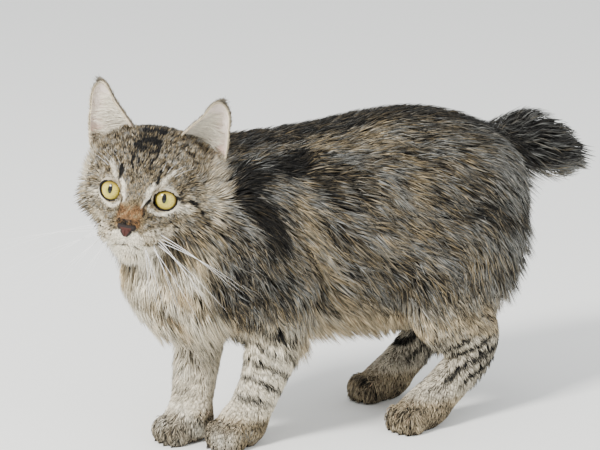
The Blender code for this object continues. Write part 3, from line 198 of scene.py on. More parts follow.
# The coat of the body and of the head: a place on it, the way its hair lies there, how deep it is
# and how long and wide its tufts are, in millimetres. Each row is there on both sides, and places
# between rows take a mixture. The head's rows are measured from between the eyes
BODY_COAT = (
    ((0.012, -0.070, 0.222), (0.02, 1.00, 0.05), 6.5, 19, 0.88),
    ((0.012, 0.010, 0.232), (0.02, 1.00, -0.02), 6.5, 20, 0.88),
    ((0.012, 0.090, 0.238), (0.03, 1.00, -0.10), 6.5, 21, 0.90),
    ((0.012, 0.150, 0.224), (0.03, 1.00, -0.30), 7.5, 22, 0.90),
    ((0.052, -0.070, 0.190), (0.00, 0.75, -0.65), 7.5, 20, 0.90),
    ((0.052, -0.060, 0.140), (0.00, 0.55, -0.85), 7.0, 19, 0.90),
    ((0.058, 0.010, 0.190), (0.00, 0.85, -0.50), 7.5, 22, 0.90),
    ((0.059, 0.010, 0.140), (0.00, 0.70, -0.70), 8.0, 24, 0.90),
    ((0.054, 0.000, 0.095), (0.00, 0.65, -0.80), 8.5, 26, 0.90),
    ((0.060, 0.080, 0.190), (0.00, 0.80, -0.60), 7.5, 20, 0.90),
    ((0.060, 0.075, 0.140), (0.00, 0.65, -0.75), 7.5, 21, 0.90),
    ((0.040, 0.040, 0.080), (0.05, 0.65, -0.80), 8.5, 26, 0.90),
    ((0.012, 0.030, 0.073), (0.02, 0.75, -0.65), 8.5, 28, 0.98, 1.2),
    ((0.045, 0.140, 0.190), (0.05, 0.60, -0.80), 7.0, 21, 0.90, 1.2),
    ((0.025, 0.178, 0.160), (0.15, 0.55, -0.90), 7.5, 25, 1.0, 1.4),
    ((0.050, 0.150, 0.120), (0.12, 0.50, -0.90), 6.0, 21, 1.0, 1.4),
    ((0.058, 0.105, 0.120), (0.00, 0.30, -0.95), 5.5, 16, 1.1),
    ((0.050, 0.125, 0.092), (0.05, 0.30, -0.95), 4.0, 12, 1.0),
    ((0.030, 0.060, 0.090), (0.00, 0.30, -0.95), 4.5, 14, 1.1),
    ((0.050, 0.120, 0.060), (0.00, 0.20, -1.00), 2.4, 7, 0.85),
    ((0.045, 0.090, 0.020), (0.00, -0.50, -0.85), 1.6, 4.5, 0.70),
    ((0.010, 0.195, 0.222), (0.05, 1.00, 0.05), 8.5, 26, 0.95, 1.5),
    ((0.020, 0.205, 0.200), (0.25, 1.00, -0.35), 8.5, 27, 0.95, 1.6),
    ((0.010, 0.198, 0.176), (0.10, 0.95, -0.55), 8.0, 27, 0.92, 1.6),
    ((0.008, 0.228, 0.187), (0.20, 1.00, -0.25), 6.0, 24, 0.85, 1.7),
    ((0.002, 0.243, 0.178), (0.10, 0.95, -0.35), 3.0, 16, 0.8, 1.5),
    ((0.010, -0.150, 0.150), (0.10, -0.25, -1.00), 10.0, 30, 0.98),
    ((0.040, -0.125, 0.160), (0.30, 0.00, -1.00), 10.0, 30, 0.98),
    ((0.010, -0.135, 0.110), (0.05, 0.15, -1.00), 9.5, 28, 0.98),
    ((0.040, -0.105, 0.115), (0.20, 0.30, -1.00), 8.5, 27, 0.98),
    ((0.010, -0.100, 0.092), (0.05, 0.60, -0.80), 8.0, 26, 0.98),
    ((0.050, -0.030, 0.098), (0.05, 0.45, -0.90), 6.0, 20, 0.88),
    ((0.045, -0.065, 0.085), (0.00, 0.15, -1.00), 4.0, 12, 1.0),
    ((0.035, -0.050, 0.060), (0.00, 0.10, -1.00), 2.4, 7.0, 0.85),
    ((0.020, -0.070, 0.020), (0.00, -0.35, -0.95), 1.6, 4.5, 0.70),
)
HEAD_COAT = (
    ((0.006, -0.022, -0.022), (0.40, 0.20, -0.70), 0.8, 2.6, 0.50),
    ((0.000, -0.014, -0.008), (0.00, 0.30, 0.95), 0.8, 2.2, 0.45),
    ((0.006, -0.004, 0.010), (0.05, 0.40, 0.90), 1.0, 3.2, 0.55),
    ((0.006, 0.006, 0.028), (0.05, 0.50, 0.85), 1.6, 4.5, 0.60),
    ((0.020, -0.002, 0.009), (0.30, 0.60, 0.75), 0.9, 3.0, 0.50),
    ((0.020, -0.002, -0.009), (0.50, 0.50, -0.60), 0.9, 3.0, 0.50),
    ((0.012, 0.030, 0.044), (0.00, 1.00, 0.10), 3.0, 8.5, 0.72, 1.2),
    ((0.017, 0.022, 0.035), (0.30, 0.60, 0.70), 1.8, 5.5, 0.58, 1.2),
    ((0.034, 0.018, 0.028), (0.25, 0.50, 0.80), 1.3, 4.0, 0.55, 1.0),
    ((0.047, 0.030, 0.012), (0.65, 0.30, 0.60), 2.2, 9.0, 0.60, 1.8),
    ((0.036, 0.008, 0.000), (0.60, 0.80, -0.20), 2.0, 6.5, 0.60, 1.2),
    ((0.022, -0.004, -0.020), (0.70, 0.60, -0.45), 1.2, 4.0, 0.55),
    ((0.022, -0.004, -0.034), (0.50, 0.50, -0.80), 2.0, 6.5, 0.65),
    ((0.043, 0.026, -0.014), (0.75, 0.55, -0.60), 5.0, 17, 0.75, 1.5),
    ((0.030, 0.020, -0.038), (0.50, 0.45, -0.85), 5.5, 17, 0.80, 1.3),
    ((0.006, 0.000, -0.046), (0.05, 0.20, -1.00), 2.6, 8, 0.70),
    ((0.008, 0.024, -0.056), (0.10, 0.05, -1.00), 9.0, 24, 0.88),
    ((0.040, 0.050, -0.030), (0.30, 0.60, -0.80), 8.0, 22, 1.1),
    ((0.044, 0.060, 0.005), (0.10, 0.90, -0.45), 7.0, 19, 1.05),
    ((0.012, 0.066, 0.036), (0.00, 1.00, -0.15), 6.0, 17, 1.05),
)
COAT_MIXING = 2.0
MIXED_AT_ONCE = 20000

# How fine the skin is, and how many tufts overlap at each place
SKIN_VOXEL = 0.0020
SKIN_SOFTENING = 10
FACE_MIDDLE = Vector((0.0, 0.004, -0.008))
FACE_REACH = 0.060
FACE_FINE_SHARE = 0.72
SETTLING_ROUNDS = 9
LONGEST_STEP = 0.0025
EVENING = 0.5
FACE_ROUNDS = 5
FACE_EVENING = 0.25
OPENING_MARGIN = 0.0006
BARE_ROUND_EYE = 0.0016
BARE_SOLE = 0.0012
COVER_BODY = 4.4
COVER_HEAD = 3.2
TUFTS_AT_MOST = 132000
TUFTS_A_PIECE = 19500
COAT_SEED = 5

# How tufts differ from each other: clumps and how they turn, sizes, how far they lift, and where
# along a tuft its second ring and its tip are and how high they stand
CLUMPS = 0.06
CLUMP_TURN = 0.16
TUFT_TURN = 0.13
SWIRL = 0.25
LENGTHS = (0.75, 1.25)
WIDTHS = (0.75, 1.20)
LIFTS = (0.70, 1.15)
ROOT_SUNK = 0.0006
TUFT_STATIONS = ((0.5, 0.66), (1.0, 1.0))
DARK_SPREAD = 0.21
WARM_SPREAD = 0.22
TIPPED = (-0.55, 0.48)


def head_matrix():
    """Takes a point of the head, measured from between the eyes, to its place on the cat."""
    turn = Matrix.Rotation(HEAD_YAW, 4, "Z")
    lift = Matrix.Rotation(-HEAD_PITCH, 4, "X")
    lean = Matrix.Rotation(HEAD_ROLL, 4, "Y")
    return Matrix.Translation(EYES_MIDDLE) @ turn @ lift @ lean


def eye_matrix(side):
    """The middle of an eyeball, with -Y the way that it looks."""
    centre = Vector((side * EYE_CENTRE.x, EYE_CENTRE.y, EYE_CENTRE.z))
    return head_matrix() @ Matrix.Translation(centre) @ Matrix.Rotation(side * EYE_OUTWARD, 4, "Z")


HEAD = head_matrix()
LOW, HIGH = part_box("eye_left")
SHIFT = (Vector(LOW) + Vector(HIGH)) / 2 - eye_matrix(1).translation


def to_head(points):
    """Places on the cat as measured from between the eyes."""
    return (points - np.array(HEAD.translation)) @ np.array(HEAD.to_3x3())


def from_head(points):
    return np.asarray(points) @ np.array(HEAD.to_3x3()).T + np.array(HEAD.translation)


def unit(rows):
    return rows / np.maximum(np.linalg.norm(rows, axis=-1, keepdims=True), 1e-12)


def catmull(points, steps):
    """Points on a smooth curve through the rows of an array, with the given steps between two rows."""
    rows = np.array(points, float)
    rows = np.vstack([2 * rows[0] - rows[1], rows, 2 * rows[-1] - rows[-2]])
    found = []
    for i in range(1, len(rows) - 2):
        a, b, c, d = rows[i - 1 : i + 3]
        for t in np.arange(steps) / steps:
            bend = (2 * a - 5 * b + 4 * c - d) * t**2 + (3 * b - a - 3 * c + d) * t**3
            found.append(0.5 * (2 * b + (c - a) * t + bend))
    found.append(rows[-2])
    return np.array(found)


def tube_rows(stations, steps=5):
    """The rows of a limb: centre, half width across, half depth."""
    return catmull([(*centre, across, deep) for centre, across, deep in stations], steps)


def torso_stations():
    return [((0.0, y, (low + high) / 2), half, (high - low) / 2) for y, low, high, half in TORSO]


def oval_axes(along):
    """The two directions across a tube that runs along a direction."""
    across = np.array((1.0, 0.0, 0.0)) - along * along[0]
    across /= np.linalg.norm(across)
    return across, np.cross(along, across)


def head_forms():
    """The head's masses as placing matrix and half sizes, both sides."""
    forms = []
    for centre, half_sizes, lean in HEAD_MASSES:
        for side in (1, -1) if centre[0] else (1,):
            place = Matrix.Translation((side * centre[0], *centre[1:])) @ Matrix.Rotation(-lean, 4, "X")
            forms.append((HEAD @ place, half_sizes))
    return forms


def paw_forms(name):
    """The palm and the four round toes of a paw, which reach a little below the floor."""
    sole, length, width, turn = PAWS[name]
    sizes = (width, length, PAW_HEIGHT)
    place = Matrix.Translation(Vector(sole)) @ Matrix.Rotation(turn, 4, "Z")
    palm = Matrix.Translation((0.0, PALM_BACK * length, PALM_RISE * PAW_HEIGHT))
    forms = [(place @ palm, [share * size for share, size in zip(PALM_SIZES, sizes)])]
    for spread in TOE_SPREAD:
        forward = length * (TOE_FORWARD - TOE_SET_BACK * abs(spread))
        toe = Matrix.Translation((spread * width, -forward, TOE_RISE * PAW_HEIGHT))
        toe = Matrix.Rotation(-TOE_TURN * spread, 4, "Z") @ toe
        forms.append((place @ toe, [share * size for share, size in zip(TOE_SIZES, sizes)]))
    return forms


def mass_forms():
    return [(Matrix.Translation(centre), half_sizes) for centre, half_sizes in BODY_MASSES]


def ellipsoid_distance(points, place, half_sizes):
    """About how far points are outside an ellipsoid, negative inside it."""
    turn = np.array(place.to_3x3())
    local = (points - np.array(place.translation)) @ turn
    near = np.linalg.norm(local / half_sizes, axis=1)
    steep = np.linalg.norm(local / np.square(half_sizes), axis=1)
    return near * (near - 1.0) / np.maximum(steep, 1e-9)


def oval_reach(flat, sizes):
    """How far an oval section reaches in the direction of points in its plane."""
    return np.linalg.norm(flat, axis=1) / np.maximum(np.linalg.norm(flat / sizes, axis=1), 1e-6)


def torso_distance(points):
    """About how far points are outside the torso, whose sections stand upright across the back."""
    rows = catmull([(centre[1], centre[2], half, deep) for centre, half, deep in torso_stations()], 4)
    along = np.clip(points[:, 1], rows[0, 0], rows[-1, 0])
    middle, half, deep = (np.interp(along, rows[:, 0], rows[:, k]) for k in (1, 2, 3))
    flat = np.stack([points[:, 0], points[:, 2] - middle], axis=1)
    radial = np.linalg.norm(flat, axis=1) - oval_reach(flat, np.stack([half, deep], axis=1))
    beyond = np.maximum(rows[0, 0] - points[:, 1], points[:, 1] - rows[-1, 0])
    outside = np.hypot(np.maximum(radial, 0.0), np.maximum(beyond, 0.0))
    return outside + np.minimum(np.maximum(radial, beyond), 0.0)


def tube_distance(points, rows):
    """About how far points are outside an oval tube, and FAR for points well away from it."""
    reach = rows[:, 3:].max() + FAR
    low, high = rows[:, :3].min(axis=0) - reach, rows[:, :3].max(axis=0) + reach
    near = ((points > low) & (points < high)).all(axis=1)
    nearest = np.full(near.sum(), FAR)
    for start, end in zip(rows, rows[1:]):
        run = end[:3] - start[:3]
        from_start = points[near] - start[:3]
        share = np.clip(from_start @ run / (run @ run), 0.0, 1.0)[:, None]
        off = from_start - share * run
        sizes = start[3:] + share * (end[3:] - start[3:])
        across, deep = oval_axes(run / np.linalg.norm(run))
        flat = np.stack([off @ across, off @ deep], axis=1)
        nearest = np.minimum(nearest, np.linalg.norm(off, axis=1) - oval_reach(flat, sizes))
    distance = np.full(len(points), FAR)
    distance[near] = nearest
    return distance


def soft_union(first, second, blend):
    """The nearer of two distances, run together softly where they are about equal."""
    overlap = np.maximum(blend - np.abs(first - second), 0.0) / blend
    return np.minimum(first, second) - overlap**2 * blend / 4


def group_distance(points, forms, blend):
    distance = ellipsoid_distance(points, *forms[0])
    for form in forms[1:]:
        distance = soft_union(distance, ellipsoid_distance(points, *form), blend)
    return distance


def lids_distance(points):
    """How far points are outside the lids, which are balls round the eyeballs."""
    centres = [np.array(eye_matrix(side).translation) for side in (1, -1)]
    return np.min([np.linalg.norm(points - c, axis=1) for c in centres], axis=0) - EYE_RADIUS - LID_THICKNESS


def line_distance(points, line):
    """How far points are from a line of short straight runs."""
    nearest = np.full(len(points), np.inf)
    for start, end in zip(line, line[1:]):
        run = end - start
        share = np.clip((points - start) @ run / (run @ run), 0.0, 1.0)[:, None]
        nearest = np.minimum(nearest, np.linalg.norm(points - start - share * run, axis=1))
    return nearest


def mouth_lines():
    """The line of the mouth on both sides, and the one from the nose down to it, on the head."""
    halves = [[(side * x, y, z) for x, y, z in MOUTH_LINE] for side in (1, -1)]
    return [catmull(points, 3) for points in (*halves, PHILTRUM)]


def mouth_near(local):
    """How far places on the head are from the line of the mouth."""
    return np.min([line_distance(local, line) for line in mouth_lines()], axis=0)


def cat_distance(points):
    """About how far points are outside the cat's outline, ears and eyes left out."""
    distance = torso_distance(points)
    for form in mass_forms():
        distance = soft_union(distance, ellipsoid_distance(points, *form), TORSO_BLEND)
    distance = soft_union(distance, tube_distance(points, tube_rows(TAIL)), LIMB_BLEND)
    distance = soft_union(distance, tube_distance(points, tube_rows(NECK)), TORSO_BLEND)
    head = soft_union(group_distance(points, head_forms(), HEAD_BLEND), lids_distance(points), LID_BLEND)
    distance = soft_union(distance, head, NECK_BLEND)
    with_legs = [distance]
    for stations, paw in zip((FORELEG_LEFT, FORELEG_RIGHT, HINDLEG_LEFT, HINDLEG_RIGHT), PAWS):
        leg = tube_distance(points, tube_rows(stations))
        leg = soft_union(leg, group_distance(points, paw_forms(paw), TOE_BLEND), WRIST_BLEND)
        with_legs.append(soft_union(distance, leg, LIMB_BLEND))
    return np.min(with_legs, axis=0)


def coat_rows():
    """The coat's guide rows on both sides: places, and for each its lie, depth, length and width."""
    places = []
    values = []
    for rows, matrix in ((BODY_COAT, Matrix()), (HEAD_COAT, HEAD)):
        turn = np.array(matrix.to_3x3())
        for place, lie, deep, length, width, *stand in rows:
            for side in (1, -1) if place[0] else (1,):
                flip = np.array((side, 1, 1))
                places.append(turn @ (np.array(place) * flip) + np.array(matrix.translation))
                sizes = (deep / 1000, length / 1000, width / 1000, stand[0] if stand else 1.0)
                values.append((*(turn @ (np.array(lie) * flip)), *sizes))
    return np.array(places), np.array(values)


def coat_at(points):
    """The coat at points: its lie and depth, its tufts' length and width, and how far they stand out."""
    places, values = coat_rows()
    found = np.empty((len(points), values.shape[1]))
    for start in range(0, len(points), MIXED_AT_ONCE):
        some = points[start : start + MIXED_AT_ONCE]
        apart = ((some[:, None] - places) ** 2).sum(axis=2)
        weight = 1 / (apart + 1e-6) ** COAT_MIXING
        found[start : start + MIXED_AT_ONCE] = weight @ values / weight.sum(axis=1, keepdims=True)
    return unit(found[:, :3]), *found[:, 3:].T


def skin_level(points):
    """About how far points are outside the skin, with the mouth's line sunk into it."""
    distance = cat_distance(points) + coat_at(points)[1]
    return np.maximum(distance, MOUTH_GROOVE - mouth_near(to_head(points)))


# Meshes
def new_object(name, mesh):
    obj = bpy.data.objects.new(name, mesh)
    bpy.context.scene.collection.objects.link(obj)
    return obj


def mesh_object(name, source):
    """An object from a bmesh."""
    mesh = bpy.data.meshes.new(name)
    source.normal_update()
    source.to_mesh(mesh)
    source.free()
    return new_object(name, mesh)


def bake_modifiers(obj):
    graph = bpy.context.evaluated_depsgraph_get()
    mesh = bpy.data.meshes.new_from_object(obj.evaluated_get(graph), depsgraph=graph)
    obj.modifiers.clear()
    obj.data = mesh


def mesh_points(mesh, kind="co"):
    points = np.empty(len(mesh.vertices) * 3, np.float32)
    mesh.vertices.foreach_get(kind, points)
    return points.reshape(-1, 3).astype(float)


def place_mesh(obj, points=None):
    """Moves a mesh from the cat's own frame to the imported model's frame."""
    points = mesh_points(obj.data) if points is None else points
    obj.data.vertices.foreach_set("co", (points + np.array(SHIFT)).ravel())
    obj.data.update()


def smooth_shading(obj):
    obj.data.polygons.foreach_set("use_smooth", np.ones(len(obj.data.polygons), bool))


def neighbours_mean(mesh, points):
    """For each point of a mesh, the mean of the points that it shares an edge with."""
    ends = np.empty(len(mesh.edges) * 2, np.int32)
    mesh.edges.foreach_get("vertices", ends)
    first, second = ends.reshape(-1, 2).T
    count = np.bincount(ends, minlength=len(points))[:, None]
    total = np.zeros_like(points)
    for axis in range(3):
        total[:, axis] = np.bincount(first, points[second, axis], len(points))
        total[:, axis] += np.bincount(second, points[first, axis], len(points))
    return total / np.maximum(count, 1)


def add_ball(target, place, half_sizes, segments=20):
    stretched = place @ Matrix.Diagonal((*half_sizes, 1.0))
    bmesh.ops.create_uvsphere(
        target, u_segments=segments, v_segments=segments // 2, radius=1.0, matrix=stretched
    )


def add_loft(target, rings, closed=True):
    """A skin over rings of equally many points, with a fan over each end if closed."""
    rows = [[target.verts.new(p) for p in ring] for ring in rings]
    count = len(rows[0])
    for low, high in zip(rows, rows[1:]):
        for i in range(count):
            j = (i + 1) % count
            target.faces.new((low[i], low[j], high[j], high[i]))
    for row, order in ((rows[0], -1), (rows[-1], 1)) if closed else ():
        middle = target.verts.new(sum((v.co for v in row), Vector()) / count)
        for i in range(count):
            j = (i + 1) % count
            target.faces.new((row[i], row[j], middle)[::order])
    return rows


def add_tube(target, rows, sides=16):
    """A tube of oval sections along a limb."""
    rings = []
    for i, row in enumerate(rows):
        along = rows[min(i + 1, len(rows) - 1)][:3] - rows[max(i - 1, 0)][:3]
        across, deep = oval_axes(along / np.linalg.norm(along))
        angles = 2 * math.pi * np.arange(sides) / sides
        rings.append([row[:3] + across * row[3] * math.cos(a) + deep * row[4] * math.sin(a) for a in angles])
    add_loft(target, rings)


# The skin
def settle(mesh, rounds, evening):
    """Draws a mesh onto the skin's level, and evens it out."""
    for _ in range(rounds):
        points = mesh_points(mesh)
        step = np.clip(skin_level(points), -LONGEST_STEP, LONGEST_STEP)[:, None]
        points -= mesh_points(mesh, "normal") * step
        points += evening * (neighbours_mean(mesh, points) - points)
        mesh.vertices.foreach_set("co", points.ravel())
        mesh.update()


def rough_skin():
    """The cat's forms in one closed mesh of even fineness."""
    forms = bmesh.new()
    for stations in (torso_stations(), NECK, TAIL, FORELEG_LEFT, FORELEG_RIGHT, HINDLEG_LEFT, HINDLEG_RIGHT):
        add_tube(forms, tube_rows(stations))
    lid = EYE_RADIUS + LID_THICKNESS
    balls = mass_forms() + head_forms() + [(eye_matrix(side), (lid, lid, lid)) for side in (1, -1)]
    for name in PAWS:
        balls += paw_forms(name)
    for place, half_sizes in balls:
        add_ball(forms, place, half_sizes)
    bmesh.ops.recalc_face_normals(forms, faces=forms.faces)
    skin = mesh_object("skin", forms)
    remesh = skin.modifiers.new("one_skin", "REMESH")
    remesh.mode = "VOXEL"
    remesh.voxel_size = SKIN_VOXEL
    soften = skin.modifiers.new("soften", "SMOOTH")
    soften.iterations = SKIN_SOFTENING
    bake_modifiers(skin)
    return skin


def refine_face(skin):
    """Halves the skin's faces on the face."""
    face = bmesh.new()
    face.from_mesh(skin.data)
    middle = HEAD @ FACE_MIDDLE
    near = [e for e in face.edges if (e.verts[0].co - middle).length < FACE_REACH * FACE_FINE_SHARE]
    bmesh.ops.subdivide_edges(face, edges=near, cuts=1, use_grid_fill=True)
    face.to_mesh(skin.data)
    face.free()


def in_opening(points, grown):
    """Whether points lie inside the outline of an eye's opening, grown by a margin."""
    inside = np.zeros(len(points), bool)
    for side in (1, -1):
        local = (points - np.array(eye_matrix(side).translation)) @ np.array(eye_matrix(side).to_3x3())
        across = local[:, 0] / (EYE_OPENING[0] + grown)
        up = local[:, 2] / (EYE_OPENING[1] + grown)
        inside |= (across**2 + up**2 < 1) & (local[:, 1] < 0) & (local[:, 1] > -2 * EYE_RADIUS)
    return inside


def open_eyes(skin):
    """Takes the skin away in front of the eyeballs."""
    face = bmesh.new()
    face.from_mesh(skin.data)
    centres = np.array([f.calc_center_median() for f in face.faces])
    inside = in_opening(centres, OPENING_MARGIN)
    bmesh.ops.delete(face, geom=[f for f, covers in zip(face.faces, inside) if covers], context="FACES")
    face.to_mesh(skin.data)
    face.free()


def make_skin():
    skin = rough_skin()
    settle(skin.data, SETTLING_ROUNDS, EVENING)
    refine_face(skin)
    settle(skin.data, FACE_ROUNDS, FACE_EVENING)
    points = mesh_points(skin.data)
    points[:, 2] = np.maximum(points[:, 2], 0.0)
    skin.data.vertices.foreach_set("co", points.ravel())
    open_eyes(skin)
    smooth_shading(skin)
    return skin


# Markings, as masks from 0 to 1 worked out from a place on the cat. They are stored on the points of
# skin and coat as how dark, how warm and how pale, and the materials mix named colours by them
def ripple(points, size, seed):
    """A soft irregular pattern about -1 to 1 whose patches are about as wide as the size."""
    draw = np.random.default_rng(seed)
    total = np.zeros(len(points))
    for _ in range(7):
        way = draw.normal(size=3)
        way *= 2 * math.pi / (size * draw.uniform(1.2, 2.6)) / np.linalg.norm(way)
        total += np.sin(points @ way + draw.uniform(0, 2 * math.pi))
    return total / 2.6


def fade(value, start, end):
    """Runs smoothly from 0 at the start to 1 at the end."""
    share = np.clip((value - start) / (end - start), 0.0, 1.0)
    return share * share * (3 - 2 * share)


def stroke(flat, line, half, soft):
    """1 on a line of places and 0 away from it."""
    return 1 - fade(line_distance(flat, catmull(line, 3)), half * (1 - soft), half * (1 + soft))


def strongest(flat, strokes, soft, swell=1.0):
    """The strongest of several strokes at each place."""
    found = [strength * stroke(flat, line, half * swell, soft) for line, half, strength in strokes]
    return np.max(found, axis=0)


def region(places, rows):
    """1 inside a soft box and 0 outside it, for places as (|x|, y, z)."""
    share = np.ones(len(places))
    for axis, start, end in rows:
        share = share * fade(places[:, axis], start, end)
    return share


# How soft the edges of strokes are, as a share of their half width
CRISP = 0.5
SOFT = 0.6
SOFTEST = 0.8


# Dark strokes on the flank: places as (y, z), half width, strength
FLANK_STROKES = (
    (((-0.078, 0.205), (-0.058, 0.206), (-0.040, 0.207), (-0.024, 0.206)), 0.0120, 1.00),
    (((-0.072, 0.200), (-0.060, 0.180), (-0.054, 0.160)), 0.0165, 1.00),
    (((-0.056, 0.165), (-0.052, 0.145), (-0.044, 0.128)), 0.0150, 0.72),
    (((-0.040, 0.188), (-0.030, 0.160), (-0.018, 0.133), (-0.006, 0.110)), 0.0050, 0.95),
    (((0.000, 0.150), (0.008, 0.130), (0.018, 0.110)), 0.0070, 0.62),
    (((-0.006, 0.215), (-0.003, 0.205)), 0.0050, 0.70),
    (((0.010, 0.214), (0.014, 0.202)), 0.0055, 0.75),
    (((0.026, 0.206), (0.028, 0.196)), 0.0055, 0.65),
    (((0.030, 0.180), (0.034, 0.168)), 0.0050, 0.60),
    (((0.014, 0.180), (0.016, 0.168)), 0.0045, 0.50),
    (((0.004, 0.170), (0.006, 0.158)), 0.0045, 0.45),
    (((0.038, 0.155), (0.036, 0.140)), 0.0055, 0.50),
    (((0.052, 0.200), (0.056, 0.185), (0.054, 0.165)), 0.0050, 0.70),
    (((0.095, 0.190), (0.092, 0.170)), 0.0075, 0.72),
    (((0.112, 0.160), (0.118, 0.140)), 0.0070, 0.65),
    (((0.070, 0.215), (0.086, 0.212)), 0.0045, 0.55),
    (((0.110, 0.208), (0.122, 0.198)), 0.0050, 0.55),
    (((0.135, 0.185), (0.142, 0.168)), 0.0055, 0.55),
    (((0.080, 0.140), (0.084, 0.122)), 0.0050, 0.50),
    (((0.030, 0.120), (0.040, 0.100)), 0.0060, 0.50),
    (((0.052, 0.118), (0.058, 0.100)), 0.0055, 0.45),
)
# Tan strokes on the flank, the same way
TAN_STROKES = (
    (((-0.032, 0.182), (-0.022, 0.157), (-0.010, 0.135), (0.004, 0.112), (0.022, 0.092)), 0.0095, 0.72),
    (((-0.030, 0.224), (0.016, 0.222), (0.055, 0.219)), 0.0080, 0.40),
    (((0.068, 0.197), (0.062, 0.178), (0.064, 0.160)), 0.0070, 0.50),
    (((0.020, 0.096), (0.050, 0.086)), 0.0120, 0.55),
)


# Strokes on the head, the same on both sides: places from between the eyes, half width, strength
FOREHEAD_STROKES = (
    (((0.0086, 0.0340), (0.0080, 0.0265), (0.0060, 0.0225), (0.0066, 0.0155)), 0.0013, 0.95),
    (((0.0034, 0.0330), (0.0030, 0.0240), (0.0018, 0.0200), (0.0024, 0.0150)), 0.0011, 0.80),
    (((0.0140, 0.0190), (0.0131, 0.0140), (0.0124, 0.0102)), 0.0015, 1.00),
    (((0.0160, 0.0330), (0.0142, 0.0285), (0.0128, 0.0235)), 0.0012, 0.60),
    (((0.0240, 0.0300), (0.0225, 0.0240), (0.0208, 0.0190)), 0.0011, 0.35),
)
CHEEK_STROKES = (
    (
        (
            (0.0275, -0.001, 0.0030), (0.0330, 0.003, 0.0015), (0.0385, 0.007, -0.0025),
            (0.0440, 0.011, -0.0100),
        ),
        0.0019, 1.0,
    ),
    (((0.0440, 0.011, -0.0100), (0.0480, 0.015, -0.0150)), 0.0022, 0.85),
    (((0.0275, 0.000, -0.0170), (0.0370, 0.008, -0.0240), (0.0470, 0.0135, -0.0220)), 0.0022, 0.86),
    (((0.0397, 0.009, -0.0325), (0.0495, 0.014, -0.0290)), 0.0024, 0.78),
    (
        (
            (0.0110, -0.008, 0.0000), (0.0092, -0.011, -0.0035), (0.0088, -0.014, -0.0075),
            (0.0086, -0.0165, -0.0110),
        ),
        0.0014, 0.95,
    ),
    (((0.0225, -0.004, -0.0115), (0.0310, 0.001, -0.0108)), 0.0009, 0.60),
    (((0.0215, -0.006, -0.0140), (0.0300, 0.000, -0.0140)), 0.0008, 0.55),
    (((0.0300, 0.004, 0.0100), (0.0380, 0.012, 0.0120)), 0.0013, 0.50),
)
INNER_CORNER = ((((0.0078, -0.0035), (0.0090, 0.0040), (0.0116, 0.0090)), 0.0017, 0.90),)
BROW = ((((0.0165, 0.0105), (0.0195, 0.0160), (0.0215, 0.0185)), 0.0018, 0.75),)
WHISKER_SPOTS = (
    ((0.0105, -0.0195), (0.0200, -0.0188), 5), ((0.0100, -0.0222), (0.0215, -0.0218), 6),
    ((0.0105, -0.0250), (0.0210, -0.0252), 6),
)
SPOT_SHAPE = (1.5, 1.0)
SPOT_EDGE = (0.0003, 0.0009)
SPOT_DARK = 0.80
MOUTH_EDGE = (0.0006, 0.0013)
FACE_FRONT = 0.002
# Soft ovals of the face: middle and half sizes as (|x|, z), where it fades and how far back it reaches
FACE_OVALS = {
    "smudge": ((0.0, -0.0150), (0.0100, 0.0032), (0.6, 1.2), -0.010),
    "lips": ((0.0, -0.0258), (0.0150, 0.0060), (0.80, 1.10), -0.002),
    "pads": ((0.019, -0.0225), (0.0085, 0.0050), (0.8, 1.2), 0.004),
    "cheek": ((0.032, -0.0045), (0.0085, 0.0040), (0.5, 1.2), 0.034),
    "below": ((0.028, -0.0195), (0.0080, 0.0045), (0.5, 1.3), 0.034),
}
# Soft boxes of the head, and below of the body. Each is a product of fades: which of |x|, y and z one
# runs along, where it is 0 and where it is 1
HEAD_REGIONS = {
    "ahead": ((1, 0.034, 0.020),),
    "crown": ((2, 0.019, 0.031), (0, 0.0115, 0.0070)),
    "chin": ((2, -0.0285, -0.0305), (0, 0.024, 0.015), (1, 0.018, 0.006)),
    "bridge": ((0, 0.0115, 0.0070), (2, -0.0010, -0.0080), (2, -0.0195, -0.0165)),
    "side": ((0, 0.034, 0.046), (2, -0.020, 0.000)),
    "eye_front": ((1, 0.014, 0.006),),
    "eye_below": ((2, 0.003, -0.006),),
    "beside_nose": ((0, 0.007, 0.012),),
    "forehead": ((2, 0.004, 0.020),),
}
CROWN_WANDER = (0.0008, 0.0, 0.0015)
EYE_ROUND = 1.12
EYE_RIM = ((0.0078, 0.0086), (0.0096, 0.0112))
BODY_REGIONS = {
    "across": ((0, 0.010, 0.028),),
    "spine": ((0, 0.034, 0.016), (2, 0.180, 0.205)),
    "rump": ((1, 0.110, 0.150),),
    "rear": ((1, 0.120, 0.160),),
    # The shoulder below the dark patch: its darkening is partly the coat's dark shoulder and partly painted
    # shadow of the head
    "shoulder": ((1, -0.025, -0.045), (1, -0.095, -0.080), (2, 0.095, 0.120), (2, 0.170, 0.150)),
    "belly": ((2, 0.100, 0.082), (1, -0.040, -0.010), (1, 0.170, 0.150)),
    "breast": ((1, -0.088, -0.112), (2, 0.205, 0.160)),
    "between_legs": ((1, -0.060, -0.085), (2, 0.120, 0.095), (0, 0.055, 0.035)),
    "low": ((2, 0.115, 0.075),),
    "above_paw": ((2, 0.026, 0.040),),
    "inward": ((0, 0.030, 0.012),),
    "thigh": ((2, 0.055, 0.070), (2, 0.145, 0.125), (1, 0.070, 0.085)),
    "hock": ((1, 0.108, 0.125), (2, 0.070, 0.055)),
    "tail": ((1, 0.178, 0.192),),
    "under_tail": ((2, 0.190, 0.174),),
    "paw": ((2, 0.028, 0.018),),
    "sole": ((2, 0.0040, 0.0018),),
}
SPINE_WANDER = (0.004, 0.0, 0.0)
SPINE_FRONT = -0.11
OTHER_SIDE_SHIFT = 0.006
BELLY_LOWEST = 0.07
FORELEGS_END = 0.015
FORE_BARS_APART = 0.0150
HIND_BARS_APART = 0.0125
BREAST_BANDS_APART = 0.030


